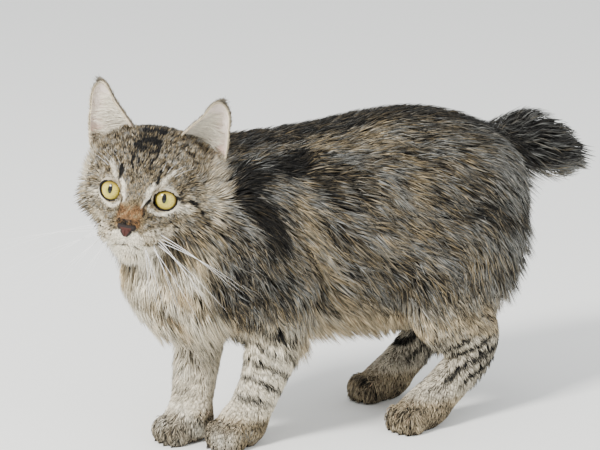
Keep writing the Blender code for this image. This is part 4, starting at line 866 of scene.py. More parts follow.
def whisker_spots(front):
    """Rows of dark spots where the whiskers grow."""
    dark = np.zeros(len(front))
    for start, end, count in WHISKER_SPOTS:
        for share in np.linspace(0, 1, count):
            spot = np.array(start) * (1 - share) + np.array(end) * share
            near = np.linalg.norm((front - spot) / SPOT_SHAPE, axis=1)
            dark = np.maximum(dark, SPOT_DARK * (1 - fade(near, *SPOT_EDGE)))
    return dark


def face_ovals(half):
    """1 inside each soft oval of the face and 0 outside it."""
    found = {}
    for name, (middle, sizes, edge, back) in FACE_OVALS.items():
        off = (half[:, ::2] - middle) / sizes
        found[name] = (1 - fade(np.hypot(off[:, 0], off[:, 1]), *edge)) * (half[:, 1] < back)
    return found


def head_dark(local, half, wobble, areas, grain):
    """The dark lines, spots and crown of the head."""
    front = half[:, ::2]
    crown = region(half + grain[:, None] * CROWN_WANDER, HEAD_REGIONS["crown"])
    return np.max([
        areas["ahead"] * strongest(front + wobble, FOREHEAD_STROKES, SOFT),
        0.94 * crown,
        strongest(half + wobble, CHEEK_STROKES, CRISP),
        whisker_spots(front) * (half[:, 1] < FACE_FRONT),
        0.82 * (1 - fade(mouth_near(local), *MOUTH_EDGE)),
        0.80 * areas["smudge"],
    ], axis=0)


def head_pale(local, half, wobble, areas):
    """White lips and chin, and a pale rim round each eye that runs up over its inner corner."""
    front = half[:, ::2] + wobble
    eye = np.hypot((half[:, 0] - EYE_CENTRE.x) / EYE_ROUND, half[:, 2])
    rim = fade(eye, *EYE_RIM[0]) * (1 - fade(eye, *EYE_RIM[1])) * areas["eye_front"]
    flecks = fade(ripple(local, 0.0030, 23), 0.3, 0.9) * areas["ahead"] * areas["beside_nose"]
    return np.max([
        areas["lips"],
        areas["chin"],
        rim * (0.35 + 0.45 * areas["eye_below"]),
        strongest(front, INNER_CORNER, SOFT),
        strongest(front, BROW, SOFTEST),
        0.60 * areas["pads"],
        0.55 * areas["cheek"],
        0.45 * areas["below"],
        0.35 * areas["side"],
        0.26 * flecks,
    ], axis=0)


def head_marks(local):
    """Dark, warm and pale on the head, from places measured from between the eyes."""
    half = local.copy()
    half[:, 0] = np.abs(half[:, 0])
    areas = {name: region(half, rows) for name, rows in HEAD_REGIONS.items()}
    areas.update(face_ovals(half))
    for name in ("cheek", "below"):
        areas[name] = areas[name] * areas["ahead"]
    bridge = areas["bridge"] * (half[:, 1] < FACE_FRONT)
    wobble = (ripple(local, 0.005, 21) * 0.0007)[:, None]
    grain = ripple(local, 0.005, 22)
    pale = head_pale(local, half, wobble, areas)
    warm = 0.62 + 0.16 * grain + 1.55 * bridge * (0.9 + 0.2 * grain)
    warm = warm + 0.30 * areas["pads"] + 0.30 * areas["below"]
    ticking = 0.64 + 0.12 * grain + 0.07 * ripple(local, 0.0025, 24) + 0.08 * areas["forehead"]
    ticking = (ticking - 0.22 * areas["side"] - 0.12 * bridge) * (1 - pale)
    dark = head_dark(local, half, wobble, areas, grain) * (1 - 0.20 * grain)
    dark = np.maximum(dark, ticking)
    return dark, warm, pale * (1 - 0.75 * fade(dark, 0.45, 0.75))


def leg_bars(points, areas):
    """How dark the bars of the legs are."""
    x, y, z = points.T
    fore = y < FORELEGS_END
    slope = np.where(fore, z + 0.45 * (y + 0.05), z - 0.55 * (y - 0.10))
    apart = np.where(fore, FORE_BARS_APART, HIND_BARS_APART)
    wave = np.sin(2 * math.pi * (slope + 0.0018 * ripple(points, 0.020, 31)) / apart)
    strength = np.where(fore, np.where(x > 0, 0.78, 0.60), 0.72)
    return fade(wave, 0.10, 0.75) * areas["above_paw"] * strength


def flank_dark(points, half, areas, grain, side, tan):
    """How dark the back and the flanks are, with the shoulder below its dark patch darkened as well, partly
    as the coat's dark shoulder and partly as painted shadow of the head.
    """
    dark = 0.68 + 0.13 * grain + 0.08 * ripple(points, 0.035, 13) + 0.06 * areas["rump"]
    blotches = strongest(side, FLANK_STROKES, SOFT, 1 + 0.15 * grain)
    dark = np.maximum(dark, (1.00 + 0.10 * grain) * areas["across"] * blotches)
    dark = dark * (1 - 0.42 * tan * (0.75 + 0.35 * grain))
    spine = region(half + grain[:, None] * SPINE_WANDER, BODY_REGIONS["spine"])
    dark = np.maximum(dark, 0.92 * spine * (points[:, 1] > SPINE_FRONT))
    # Painted shadow: the shoulder is darkened partly as the coat's dark shoulder and partly as the head's
    # shadow on it
    return np.maximum(dark, 0.84 * areas["shoulder"] * areas["across"] * (1 - tan))


def under_dark(dark, half, areas, grain, breast):
    """The same with the cream belly and the banded breast and throat laid over it."""
    slope = half[:, 2] + 0.35 * half[:, 0] + 0.004 * grain
    bands = fade(np.sin(2 * math.pi * slope / BREAST_BANDS_APART), 0.15, 0.85)
    dark = dark * (1 - 0.94 * breast) + 0.40 * breast * bands * (0.7 + 0.5 * grain)
    return dark * (1 - 0.72 * areas["belly"]) + 0.12 * areas["belly"] * fade(grain, 0.2, 0.8)


def limb_dark(dark, points, areas, grain, leg):
    """The same with the legs, the tail, the toes and the soles laid over it."""
    y = points[:, 1]
    bars = leg_bars(points, areas)
    shown = bars * (1 - 0.6 * areas["inward"] * (y < 0))
    dark = dark * (1 - leg) + leg * (0.06 + shown + 0.08 * grain + 0.36 * (y > 0))
    dark = np.max([dark, 1.1 * areas["thigh"] * bars, 0.75 * areas["hock"]], axis=0)
    tail = areas["tail"]
    dark = dark * (1 - tail) + tail * (0.90 - 0.30 * areas["under_tail"] + 0.10 * grain)
    return np.max([dark, areas["paw"] * (0.64 + 0.14 * grain), 0.95 * areas["sole"]], axis=0)


def body_marks(points):
    """Dark, warm and pale on the body."""
    x, y, z = points.T
    half = np.stack([np.abs(x), y, z], axis=1)
    areas = {name: region(half, rows) for name, rows in BODY_REGIONS.items()}
    wobble = 0.0022 * ripple(points, 0.022, 11)
    side = np.stack([y + wobble + np.where(x > 0, 0.0, OTHER_SIDE_SHIFT), z + wobble], axis=1)
    grain = ripple(points, 0.012, 12)
    tan = areas["across"] * strongest(side, TAN_STROKES, CRISP)
    belly, paw = areas["belly"], areas["paw"]
    breast = np.maximum(areas["breast"], areas["between_legs"])
    leg = areas["low"] * (1 - belly * (z > BELLY_LOWEST))
    dark = flank_dark(points, half, areas, grain, side, tan)
    dark = under_dark(dark, half, areas, grain, breast)
    dark = limb_dark(dark, points, areas, grain, leg)
    warm = 0.40 + 0.20 * grain + 0.45 * tan + 0.45 * belly + 0.72 * breast + 0.40 * leg - 0.30 * areas["rear"]
    pale = [(0.64 - 0.30 * grain) * breast, 0.74 * leg * (1 - paw) + 0.10 * paw, 0.24 * belly, 0.10 * tan]
    return np.clip(dark, 0, 1), np.clip(warm, 0, 1.25), np.clip(np.max(pale, axis=0), 0, 1)


def head_share(points):
    """1 on the head and 0 on the body, softly between."""
    local = to_head(points)
    reach = np.linalg.norm((local - (0, 0.020, 0.0)) / (0.056, 0.050, 0.056), axis=1)
    return 1 - fade(reach, 0.92, 1.12)


def marks_at(points):
    """How dark, warm and pale the coat is at places on the cat."""
    share = head_share(points)[:, None]
    head = np.stack(head_marks(to_head(points)), axis=1)
    body = np.stack(body_marks(points), axis=1)
    return head * share + body * (1 - share)


def store(mesh, name, rows):
    """Stores three numbers a point on a mesh."""
    layer = mesh.attributes.new(name, "FLOAT_COLOR", "POINT")
    full = np.ones((len(rows), 4), np.float32)
    full[:, :3] = rows
    layer.data.foreach_set("color", full.ravel())


# Materials
class Wire:
    """A socket of a material's nodes, on which arithmetic adds Math nodes."""

    def __init__(self, sheet, socket):
        self.sheet = sheet
        self.socket = socket

    def by(self, operation, first, second):
        return self.sheet.node("ShaderNodeMath", {"operation": operation}, {0: first, 1: second})

    def __add__(self, other):
        return self.by("ADD", self, other)

    def __sub__(self, other):
        return self.by("SUBTRACT", self, other)

    def __rsub__(self, other):
        return self.by("SUBTRACT", other, self)

    def __mul__(self, other):
        return self.by("MULTIPLY", self, other)

    def __rmul__(self, other):
        return self.by("MULTIPLY", other, self)

    def __pow__(self, other):
        return self.by("POWER", self, other)

    def clipped(self):
        return self.sheet.node("ShaderNodeClamp", {}, {"Value": self})


class Sheet:
    """A material with one Principled shader, whose nodes are added by type."""

    def __init__(self, name, **values):
        self.material = bpy.data.materials.new(name)
        self.material.use_nodes = True
        self.tree = self.material.node_tree
        self.shader = self.tree.nodes["Principled BSDF"]
        for key, value in values.items():
            self.shader.inputs[key.replace("_", " ")].default_value = value

    def node(self, kind, settings, inputs, output=0):
        made = self.tree.nodes.new(kind)
        for key, value in settings.items():
            setattr(made, key, value)
        for key, value in inputs.items():
            if isinstance(value, Wire):
                self.tree.links.new(value.socket, made.inputs[key])
            else:
                made.inputs[key].default_value = value
        return Wire(self, made.outputs[output])

    def mix(self, first, second, share):
        """A colour between two, by a share from 0 to 1."""
        inputs = {0: share, 6: first, 7: second}
        settings = {"data_type": "RGBA", "clamp_factor": True}
        return self.node("ShaderNodeMix", settings, inputs, 2)

    def attribute(self, name):
        """The three numbers stored on the mesh under a name."""
        colour = self.node("ShaderNodeAttribute", {"attribute_name": name}, {})
        parts = self.tree.nodes.new("ShaderNodeSeparateColor")
        self.tree.links.new(colour.socket, parts.inputs[0])
        return [Wire(self, parts.outputs[k]) for k in range(3)]

    def noise(self, scale, detail=3.0, roughness=0.5):
        return self.node("ShaderNodeTexNoise", {}, {"Scale": scale, "Detail": detail, "Roughness": roughness})

    def between(self, value, low, high):
        """0 below a value, 1 above another, and smooth between."""
        inputs = {"Value": value, "From Min": low, "From Max": high}
        return self.node("ShaderNodeMapRange", {"interpolation_type": "SMOOTHSTEP"}, inputs)

    def feed(self, name, value):
        self.tree.links.new(value.socket, self.shader.inputs[name])

    def bump(self, height, strength, distance):
        inputs = {"Height": height, "Strength": strength, "Distance": distance}
        self.feed("Normal", self.node("ShaderNodeBump", {}, inputs))


def srgb(red, green, blue):
    """A colour as seen on a screen, from 0 to 255, as the linear colour that a material takes."""
    shares = [c / 255 for c in (red, green, blue)]
    return (*[c / 12.92 if c < 0.04045 else ((c + 0.055) / 1.055) ** 2.4 for c in shares], 1.0)


BLACK_BROWN = srgb(26, 25, 24)
GREY = srgb(170, 170, 164)
TAN = srgb(204, 180, 136)
ORANGE = srgb(174, 130, 86)
CREAM = srgb(250, 242, 222)


def coat_colour(sheet, dark, warm, pale):
    """The coat's colour from its three masks."""
    ground = sheet.mix(GREY, TAN, sheet.between(warm, 0.0, 1.0))
    ground = sheet.mix(ground, ORANGE, sheet.between(warm, 1.30, 1.85))
    ground = sheet.mix(ground, CREAM, pale)
    return sheet.mix(ground, BLACK_BROWN, dark)


def fur_material():
    """Tufts: the markings, grey at the root, lightest in the middle, and darker or paler at the tip."""
    sheet = Sheet("fur", Roughness=0.70, Specular_IOR_Level=0.14)
    dark, warm, pale = sheet.attribute("marks")
    along, chance, tipped = sheet.attribute("strand")
    root = 1 - sheet.between(along, 0.05, 0.55)
    tip = sheet.between(along, 0.60, 0.95)
    shade = dark + root * 0.22 + tip * tipped
    colour = coat_colour(sheet, shade.clipped(), warm + chance * 0.25 - 0.12, pale)
    sheet.feed("Base Color", colour)
    return sheet.material


def skin_material():
    """The skin under the coat: the same markings, a little darker as painted shade in the gaps between the
    tufts, with short flat fur as bump.
    """
    sheet = Sheet("short_fur", Roughness=0.75, Specular_IOR_Level=0.2)
    dark, warm, pale = sheet.attribute("marks")
    ticks = sheet.noise(900.0, 2.0)
    # The noise's fine flecks are the short fur; its offset makes the skin a little darker on the whole, as
    # painted shade in the gaps between tufts
    shade = dark + (ticks - 0.42) * 0.5
    sheet.feed("Base Color", coat_colour(sheet, shade.clipped(), warm, pale))
    sheet.bump(sheet.noise(1400.0, 2.0), 0.6, 0.0006)
    return sheet.material


def plain_material(name, colour, roughness, **values):
    sheet = Sheet(name, Roughness=roughness, **values)
    dark = tuple(0.72 * c for c in colour[:3]) + (1.0,)
    sheet.feed("Base Color", sheet.mix(dark, colour, sheet.noise(260.0, 3.0)))
    sheet.bump(sheet.noise(1200.0, 2.0), 0.25, 0.0003)
    return sheet.material


def finish(obj, material, slot, *nodes):
    """Gives a piece its material and place, and hides the solids that it stands for. The slot is not used."""
    obj.data.materials.clear()
    obj.data.materials.append(material)
    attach(obj, "root")
    if nodes:
        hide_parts(*nodes)


# The coat
class Bed:
    """The skin as a bed for tufts: where a point nearest to it lies, and its smooth normal there."""

    def __init__(self, skin):
        mesh = skin.data
        mesh.calc_loop_triangles()
        self.points = mesh_points(mesh)
        self.normals = mesh_points(mesh, "normal")
        corners = np.empty(len(mesh.loop_triangles) * 3, np.int32)
        mesh.loop_triangles.foreach_get("vertices", corners)
        self.corners = corners.reshape(-1, 3)
        self.tree = BVHTree.FromPolygons(self.points.tolist(), self.corners.tolist())
        a, b, c = (self.points[self.corners[:, k]] for k in range(3))
        self.areas = np.linalg.norm(np.cross(b - a, c - a), axis=1) / 2
        self.centres = (a + b + c) / 3

    def nearest(self, points):
        """The places of the skin nearest to points, and its normals there."""
        found = [self.tree.find_nearest(p) for p in points.tolist()]
        places = np.array([f[0] for f in found])
        faces = np.array([f[2] for f in found])
        return places, self.smooth_normals(places, faces)

    def smooth_normals(self, places, faces):
        corners = self.corners[faces]
        near = 1 / (np.linalg.norm(self.points[corners] - places[:, None], axis=2) + 1e-5)
        return unit((self.normals[corners] * near[:, :, None]).sum(axis=1))


def coarse_unwrap(skin):
    """A coarse copy of the skin, unwrapped: the tree of its faces, their corners and their corners' uv."""
    copy = new_object("unwrap", skin.data.copy())
    thin = copy.modifiers.new("thin_out", "DECIMATE")
    thin.ratio = 0.06
    thin.use_collapse_triangulate = True
    bake_modifiers(copy)
    bpy.context.view_layer.objects.active = copy
    bpy.ops.object.select_all(action="DESELECT")
    copy.select_set(True)
    bpy.ops.object.mode_set(mode="EDIT")
    bpy.ops.mesh.select_all(action="SELECT")
    bpy.ops.uv.smart_project(angle_limit=math.radians(66), island_margin=0.004)
    bpy.ops.object.mode_set(mode="OBJECT")
    mesh = copy.data
    corners = np.array([p.vertices[:] for p in mesh.polygons])
    places = np.empty(len(mesh.loops) * 2, np.float32)
    mesh.uv_layers.active.data.foreach_get("uv", places)
    points = mesh_points(mesh)
    bpy.data.objects.remove(copy)
    return BVHTree.FromPolygons(points.tolist(), corners.tolist()), points, corners, places.reshape(-1, 3, 2)


def unwrap_at(unwrap, roots):
    """Where roots lie on the unwrap."""
    tree, points, corners, places = unwrap
    found = [tree.find_nearest(p) for p in roots.tolist()]
    faces = np.array([f[2] for f in found])
    near = 1 / (np.linalg.norm(points[corners[faces]] - roots[:, None], axis=2) + 1e-5)
    near /= near.sum(axis=1, keepdims=True)
    return (places[faces] * near[:, :, None]).sum(axis=1)


def choose_roots(bed, draw):
    """Places for tufts all over the skin, closer where the tufts are small."""
    _, _, length, width, _ = coat_at(bed.centres)
    cover = COVER_BODY + (COVER_HEAD - COVER_BODY) * head_share(bed.centres)
    want = bed.areas * cover * 2 / (length * width)
    want[bed.centres[:, 2] < BARE_SOLE] = 0.0
    total = want.sum()
    count = int(min(total, TUFTS_AT_MOST))
    faces = draw.choice(len(want), size=count, p=want / total)
    first, second = np.sqrt(draw.random(count)), draw.random(count)
    weights = np.stack([1 - first, first * (1 - second), first * second], axis=1)
    corners = bed.corners[faces]
    roots = (bed.points[corners] * weights[:, :, None]).sum(axis=1)
    normals = unit((bed.normals[corners] * weights[:, :, None]).sum(axis=1))
    clear = ~in_opening(roots, BARE_ROUND_EYE)
    return roots[clear], normals[clear]


def gathered(roots, draw, share):
    """For each root the nearest of a few chosen ones, towards which its tuft leans."""
    chosen = draw.permutation(len(roots))[: max(int(len(roots) * share), 1)]
    tree = KDTree(len(chosen))
    for i, k in enumerate(chosen):
        tree.insert(roots[k], i)
    tree.balance()
    index = np.array([tree.find(p)[1] for p in roots.tolist()])
    return roots[chosen[index]], index


TUFT_FACES = np.array(
    [(0, 2, 1)]
    + [(i, (i + 1) % 3, 3 + (i + 1) % 3) for i in range(3)]
    + [(i, 3 + (i + 1) % 3, 3 + i) for i in range(3)]
    + [(3 + i, 3 + (i + 1) % 3, 6) for i in range(3)]
)
TUFT_ALONG = np.array([0, 0, 0, 0.5, 0.5, 0.5, 1.0])
TUFT_POINTS = len(TUFT_ALONG)
RING_WIDTHS = (0.55, 0.5)
RING_HEIGHT = 0.9
LOWEST_HAIR = 0.0002
TUFT_PATCH = np.array([(-1, 0), (1, 0), (0, 0.2), (-0.8, 1), (0.8, 1), (0, 1.2), (0, 2)]) * 0.0015


def tuft_mesh(name, tufts):
    """Closed three-sided tufts through two rings each to their tips, as one mesh."""
    count = len(tufts["tips"])
    shape = np.empty((count, TUFT_POINTS, 3))
    for k, share in enumerate(RING_WIDTHS):
        middle, wide = tufts["rings"][k], tufts["widths"] * share
        half = tufts["across"][k] * wide[:, None]
        shape[:, 3 * k] = middle - half
        shape[:, 3 * k + 1] = middle + half
        shape[:, 3 * k + 2] = middle + tufts["outward"][k] * (wide * RING_HEIGHT)[:, None]
    shape[:, -1] = tufts["tips"]
    shape[:, :, 2] = np.maximum(shape[:, :, 2], LOWEST_HAIR)
    faces = (TUFT_FACES[None] + TUFT_POINTS * np.arange(count)[:, None, None]).reshape(-1, 3)
    mesh = bpy.data.meshes.new(name)
    mesh.vertices.add(TUFT_POINTS * count)
    mesh.loops.add(3 * len(faces))
    mesh.polygons.add(len(faces))
    mesh.vertices.foreach_set("co", (shape + np.array(SHIFT)).ravel())
    mesh.loops.foreach_set("vertex_index", faces.ravel().astype(np.int32))
    mesh.polygons.foreach_set("loop_start", np.arange(0, 3 * len(faces), 3, dtype=np.int32))
    mesh.polygons.foreach_set("use_smooth", np.ones(len(faces), bool))
    mesh.update(calc_edges=True)
    store(mesh, "marks", np.repeat(tufts["marks"], TUFT_POINTS, axis=0))
    rows = np.repeat(tufts["strand"], TUFT_POINTS, axis=0)
    rows[:, 0] = np.tile(TUFT_ALONG, count)
    store(mesh, "strand", rows)
    layer = mesh.uv_layers.new(name="OFBake")
    spread = tufts["places"][:, None] + TUFT_PATCH[None]
    layer.data.foreach_set("uv", spread.reshape(-1, 2)[faces.ravel()].astype(np.float32).ravel())
    return new_object(name, mesh)


ZONES = ("head", "neck", "torso", "tail", "foreleg", "thigh", "hindleg", "forepaw", "hindpaw")
ZONE_CUTS = {
    "neck": ((0.000, -0.078, 0.166), (0.20, -0.82, 0.53)),
    "head": ((0.000, -0.105, 0.184), (0.38, -0.68, 0.62)),
    "tail": ((0.000, 0.191, 0.200), (0.0, 1.0, -0.1)),
}
# Zones of the legs, each laid over the ones before: the height that it ends at, the place along the
# body where it begins or ends, and whether it lies behind that place
LEG_ZONES = (
    ("foreleg", 0.112, 0.0, False), ("thigh", 0.150, 0.060, True), ("hindleg", 0.075, 0.040, True),
    ("forepaw", 0.030, 0.0, False), ("hindpaw", 0.030, 0.040, True),
)


def zones_of(roots):
    """The name of the part of the body that each root is on."""
    names = np.full(len(roots), "torso", object)
    y, z = roots[:, 1], roots[:, 2]
    for name, top, limit, behind in LEG_ZONES:
        names[(z < top) & ((y > limit) if behind else (y < limit))] = name
    for name, (middle, way) in ZONE_CUTS.items():
        names[(roots - middle) @ np.array(way) > 0] = name
    return names


def lay_tufts(bed, roots, normals, draw):
    """Tufts rooted in the skin that follow its lie, and the places that their colours are read at."""
    count = len(roots)
    lie, deep, length, width, stand = coat_at(roots)
    leader, clump = gathered(roots, draw, CLUMPS)
    turn = draw.normal(0, CLUMP_TURN, clump.max() + 1)[clump]
    on_head = head_share(roots)
    length = length * draw.uniform(*LENGTHS, count)
    width = width * draw.uniform(*WIDTHS, count)
    facing = (lie * normals).sum(axis=1)
    free = np.clip((facing - 0.25) / 0.4, 0.0, 0.9)[:, None]
    flat = unit(lie - normals * facing[:, None])
    turn = turn + draw.normal(0, TUFT_TURN, count) + SWIRL * ripple(roots, 0.030, 41)
    turn = turn[:, None] * (1 - 0.5 * on_head[:, None])
    flat = flat * np.cos(turn) + np.cross(normals, flat) * np.sin(turn)
    way = unit(flat * (1 - free) + lie * free)
    lift = draw.uniform(*LIFTS, count) * stand
    gather = (leader - roots) * (0.55 - 0.35 * on_head)[:, None]
    rings = [roots - normals * ROOT_SUNK]
    outs = [normals]
    for share, rise in TUFT_STATIONS:
        reach = roots + way * (length * share)[:, None] + gather * share
        place, out = bed.nearest(reach)
        laid = place + out * (deep * rise * lift)[:, None]
        hung = reach + normals * (deep * rise * lift * 0.5)[:, None]
        rings.append(laid * (1 - free) + hung * free)
        outs.append(out)
    tips = rings.pop()
    across = [unit(np.cross(tips - roots, out)) for out in outs[:2]]
    tufts = {"rings": rings, "tips": tips, "across": across, "outward": outs[:2], "widths": width}
    return tufts, roots + normals * deep[:, None] * 0.5 + way * (length * 0.35)[:, None]


def colour_tufts(seen, draw):
    """The markings of tufts, each a little off its place's, and how dark or pale their tips are."""
    count = len(seen)
    marks = marks_at(seen)
    spread = draw.normal(0, DARK_SPREAD, count) * (1 - 0.75 * fade(marks[:, 0], 0.8, 1.0))
    marks[:, 0] = np.clip(marks[:, 0] + spread, 0, 1)
    marks[:, 1] += draw.normal(0, WARM_SPREAD, count)
    tipped = draw.uniform(*TIPPED, count) * (1 - 0.80 * fade(marks[:, 0], 0.72, 0.95))
    strand = np.stack([np.zeros(count), draw.random(count), tipped], axis=1)
    return {"marks": marks, "strand": strand}


def picked(tufts, chosen):
    """The chosen ones of a set of tufts."""
    return {key: [v[chosen] for v in value] if key in ("rings", "across", "outward") else value[chosen]
            for key, value in tufts.items()}


def make_coat(bed, unwrap, material):
    draw = np.random.default_rng(COAT_SEED)
    roots, normals = choose_roots(bed, draw)
    tufts, seen = lay_tufts(bed, roots, normals, draw)
    tufts.update(colour_tufts(seen, draw))
    tufts["places"] = unwrap_at(unwrap, roots)
    zones = zones_of(roots)
    for zone in ZONES:
        chosen = np.flatnonzero(zones == zone)
        chosen = chosen[np.argsort(roots[chosen, 0], kind="stable")]
        parts = max(math.ceil(len(chosen) / TUFTS_A_PIECE), 2)
        for k, some in enumerate(np.array_split(chosen, parts)):
            piece = tuft_mesh(f"fur_{zone}_{k + 1}", picked(tufts, some))
            finish(piece, material, f"{zone}_coat")


# The eyes
EYE_FINENESS = (96, 64)
CORNEA = 0.045
CORNEA_EDGE = 0.70


def make_eye(side, name, material):
    """An eyeball whose front bulges a little, with its own directions stored for the iris."""
    ball = bmesh.new()
    around, along = EYE_FINENESS
    bmesh.ops.create_uvsphere(ball, u_segments=around, v_segments=along, radius=EYE_RADIUS)
    local = np.array([v.co[:] for v in ball.verts])
    ahead = np.clip(-local[:, 1] / EYE_RADIUS, 0, 1)
    local *= (1 + CORNEA * fade(ahead, CORNEA_EDGE, 1.0))[:, None]
    turned = local @ np.array(eye_matrix(side).to_3x3()).T + np.array(eye_matrix(side).translation)
    eye = mesh_object(name, ball)
    place_mesh(eye, turned)
    rows = np.stack([local[:, 0] * side, local[:, 2], -local[:, 1]], axis=1) / EYE_RADIUS
    store(eye.data, "gaze", rows * 0.5 + 0.5)
    smooth_shading(eye)
    finish(eye, material, "eye", name)


# The pupil's middle and half sizes, in radii of the ball
PUPIL = (-0.075, 0.16, 0.165, 0.330)


def eye_material():
    """A yellow-gold iris with fine rays, a dark edge and an upright oval pupil, under a wet gloss. The top of
    the iris is darker as painted shade of the upper lid.
    """
    sheet = Sheet("eye_wet", Roughness=0.25, Specular_IOR_Level=0.10, Coat_Weight=0.55, Coat_Roughness=0.02)
    across, up = (2 * part - 1 for part in sheet.attribute("gaze")[:2])
    outward = (across * across + up * up) ** 0.5
    x = (across - PUPIL[0]) * (1 / PUPIL[2])
    y = (up - PUPIL[1]) * (1 / PUPIL[3])
    pupil = sheet.between((x * x + y * y) ** 0.5, 1.08, 0.92)
    angle = sheet.node("ShaderNodeMath", {"operation": "ARCTAN2"}, {0: x, 1: y})
    ray_place = sheet.node("ShaderNodeCombineXYZ", {}, {0: angle * 5.0, 1: outward * 3.0, 2: 0.0})
    rays = sheet.node("ShaderNodeTexNoise", {}, {"Vector": ray_place, "Scale": 3.0, "Detail": 3.0})
    gold = sheet.mix(srgb(168, 150, 52), srgb(212, 194, 92), sheet.between(rays, 0.3, 0.7))
    gold = sheet.mix(gold, srgb(140, 142, 60), sheet.between(outward, 0.34, 0.10))
    # Painted shade: the top of the iris is darkened, as the shade of the upper lid
    gold = sheet.mix(gold, srgb(128, 108, 40), sheet.between(up, 0.25, 0.62))
    gold = sheet.mix(gold, srgb(96, 78, 26), sheet.between(outward, 0.56, 0.70))
    gold = sheet.mix(gold, srgb(16, 13, 11), sheet.between(outward, 0.70, 0.78))
    sheet.feed("Base Color", sheet.mix(gold, srgb(6, 6, 7), pupil))
    return sheet.material


# The lids' rims: how far out of the opening's edge and how high over the ball each ring lies
LID_RINGS = ((-0.0004, 0.0000), (-0.0001, 0.0006), (0.0007, 0.0012), (0.0018, 0.0012), (0.0032, -0.0004))
LID_POINTS = 72
LID_CLEARANCE = 1.008


def lid_outline():
    """The edge of the left eye's lids seen from ahead: a round almond, drawn out at its inner corner."""
    angles = 2 * math.pi * np.arange(LID_POINTS) / LID_POINTS
    across = EYE_OPENING[0] * np.cos(angles)
    up = EYE_OPENING[1] * np.sin(angles)
    inner = fade(-np.cos(angles), 0.80, 1.0)
    outer = fade(np.cos(angles), 0.84, 1.0)
    across = across - 0.0022 * inner + 0.0006 * outer
    up = up - 0.0016 * inner + 0.0005 * outer
    return across, up


def make_lids(side, name, material):
    """The black rims of the lids round an eye, rounded over and sunk into the skin."""
    across, up = lid_outline()
    out = unit(np.stack([across, up], axis=1))
    rings = []
    for away, high in LID_RINGS:
        x, z = across + out[:, 0] * away, up + out[:, 1] * away
        reach = EYE_RADIUS * LID_CLEARANCE + high
        y = -np.sqrt(np.maximum(reach**2 - x**2 - z**2, 0))
        local = np.stack([side * x, y, z], axis=1)
        rings.append([eye_matrix(side) @ Vector(p) for p in local])
    rim = bmesh.new()
    add_loft(rim, rings, closed=False)
    lids = mesh_object(name, rim)
    fine = lids.modifiers.new("fine", "SUBSURF")
    fine.levels = fine.render_levels = 1
    bake_modifiers(lids)
    place_mesh(lids)
    smooth_shading(lids)
    finish(lids, material, "head_coat")


# The nose
# The left nostril's middle and half sizes, its slant and depth, and the groove between the nostrils
NOSTRIL = (0.0040, -0.0246, -0.0207)
NOSTRIL_SIZES = (0.0018, 0.0030, 0.0009)
NOSTRIL_SLANT = 0.55
NOSTRIL_DEPTH = 0.0017
GROOVE_WIDTH = 0.0006
GROOVE_DEPTH = 0.0007
GROOVE_EDGE = (0.0190, 0.0215)


def dent_nose(local):
    """Sinks the nostrils and the groove between them into the nose."""
    for side in (1, -1):
        off = (local - np.array(NOSTRIL) * (side, 1, 1)) / NOSTRIL_SIZES
        off[:, 2] += side * off[:, 0] * NOSTRIL_SLANT
        local[:, 1] += NOSTRIL_DEPTH * np.exp(-((off**2).sum(axis=1)))
    groove = np.exp(-((local[:, 0] / GROOVE_WIDTH) ** 2)) * fade(-local[:, 2], *GROOVE_EDGE)
    local[:, 1] += GROOVE_DEPTH * groove


def make_nose(material):
    outline = (*NOSE_OUTLINE, NOSE_OUTLINE[0])
    rings = []
    for y, scale in NOSE_DEPTHS:
        ring = catmull([(x * scale, y, NOSE_MIDDLE + z * scale) for x, z in outline], 3)[:-1]
        rings.append([HEAD @ Vector(p) for p in ring])
    leather = bmesh.new()
    add_loft(leather, rings)
    bmesh.ops.recalc_face_normals(leather, faces=leather.faces)
    nose = mesh_object("nose_leather", leather)
    fine = nose.modifiers.new("fine", "SUBSURF")
    fine.levels = fine.render_levels = 2
    bake_modifiers(nose)
    local = to_head(mesh_points(nose.data))
    dent_nose(local)
    aside, rise = np.abs(local[:, 0]), local[:, 2] - NOSE_MIDDLE
    red = (1 - fade(rise, 0.0012, 0.0026)) * (1 - fade(aside - 0.55 * (rise + 0.0062), -0.0007, 0.0005))
    place_mesh(nose, from_head(local))
    store(nose.data, "red", np.stack([red, red, red], axis=1))
    smooth_shading(nose)
    finish(nose, material, "nose_leather", "nose")


def nose_material():
    """Brick-red leather with a black edge and a fine pebbled grain."""
    sheet = Sheet("nose_leather", Roughness=0.55, Specular_IOR_Level=0.22)
    share = sheet.attribute("red")[0]
    red = sheet.mix(srgb(56, 31, 27), srgb(80, 45, 38), sheet.noise(500.0, 2.0))
    share = sheet.between(share + sheet.noise(400.0) * 0.4, 0.55, 1.15)
    sheet.feed("Base Color", sheet.mix(srgb(34, 27, 24), red, share))
    grain = sheet.node("ShaderNodeTexVoronoi", {}, {"Scale": 1700.0})
    sheet.bump(grain, 0.5, 0.0003)
    return sheet.material


# The ears
def ear_row(share):
    """The two edges of an ear at a share of the way from its base to its rounded tip."""
    edges = []
    for base, middle in ((EAR_INNER_BASE, EAR_INNER_MIDDLE), (EAR_OUTER_BASE, EAR_OUTER_MIDDLE)):
        low, mid, tip = Vector(base), Vector(middle), Vector(EAR_TIP)
        through = 2 * mid - (low + tip) / 2
        edges.append(low * (1 - share) ** 2 + through * 2 * share * (1 - share) + tip * share**2)
    inner, outer = edges
    wider = math.sqrt((1 - EAR_ROUND_FROM) / max(1 - max(share, EAR_ROUND_FROM), EAR_BLUNT))
    middle = (inner + outer) / 2
    return middle + (inner - middle) * wider, middle + (outer - middle) * wider


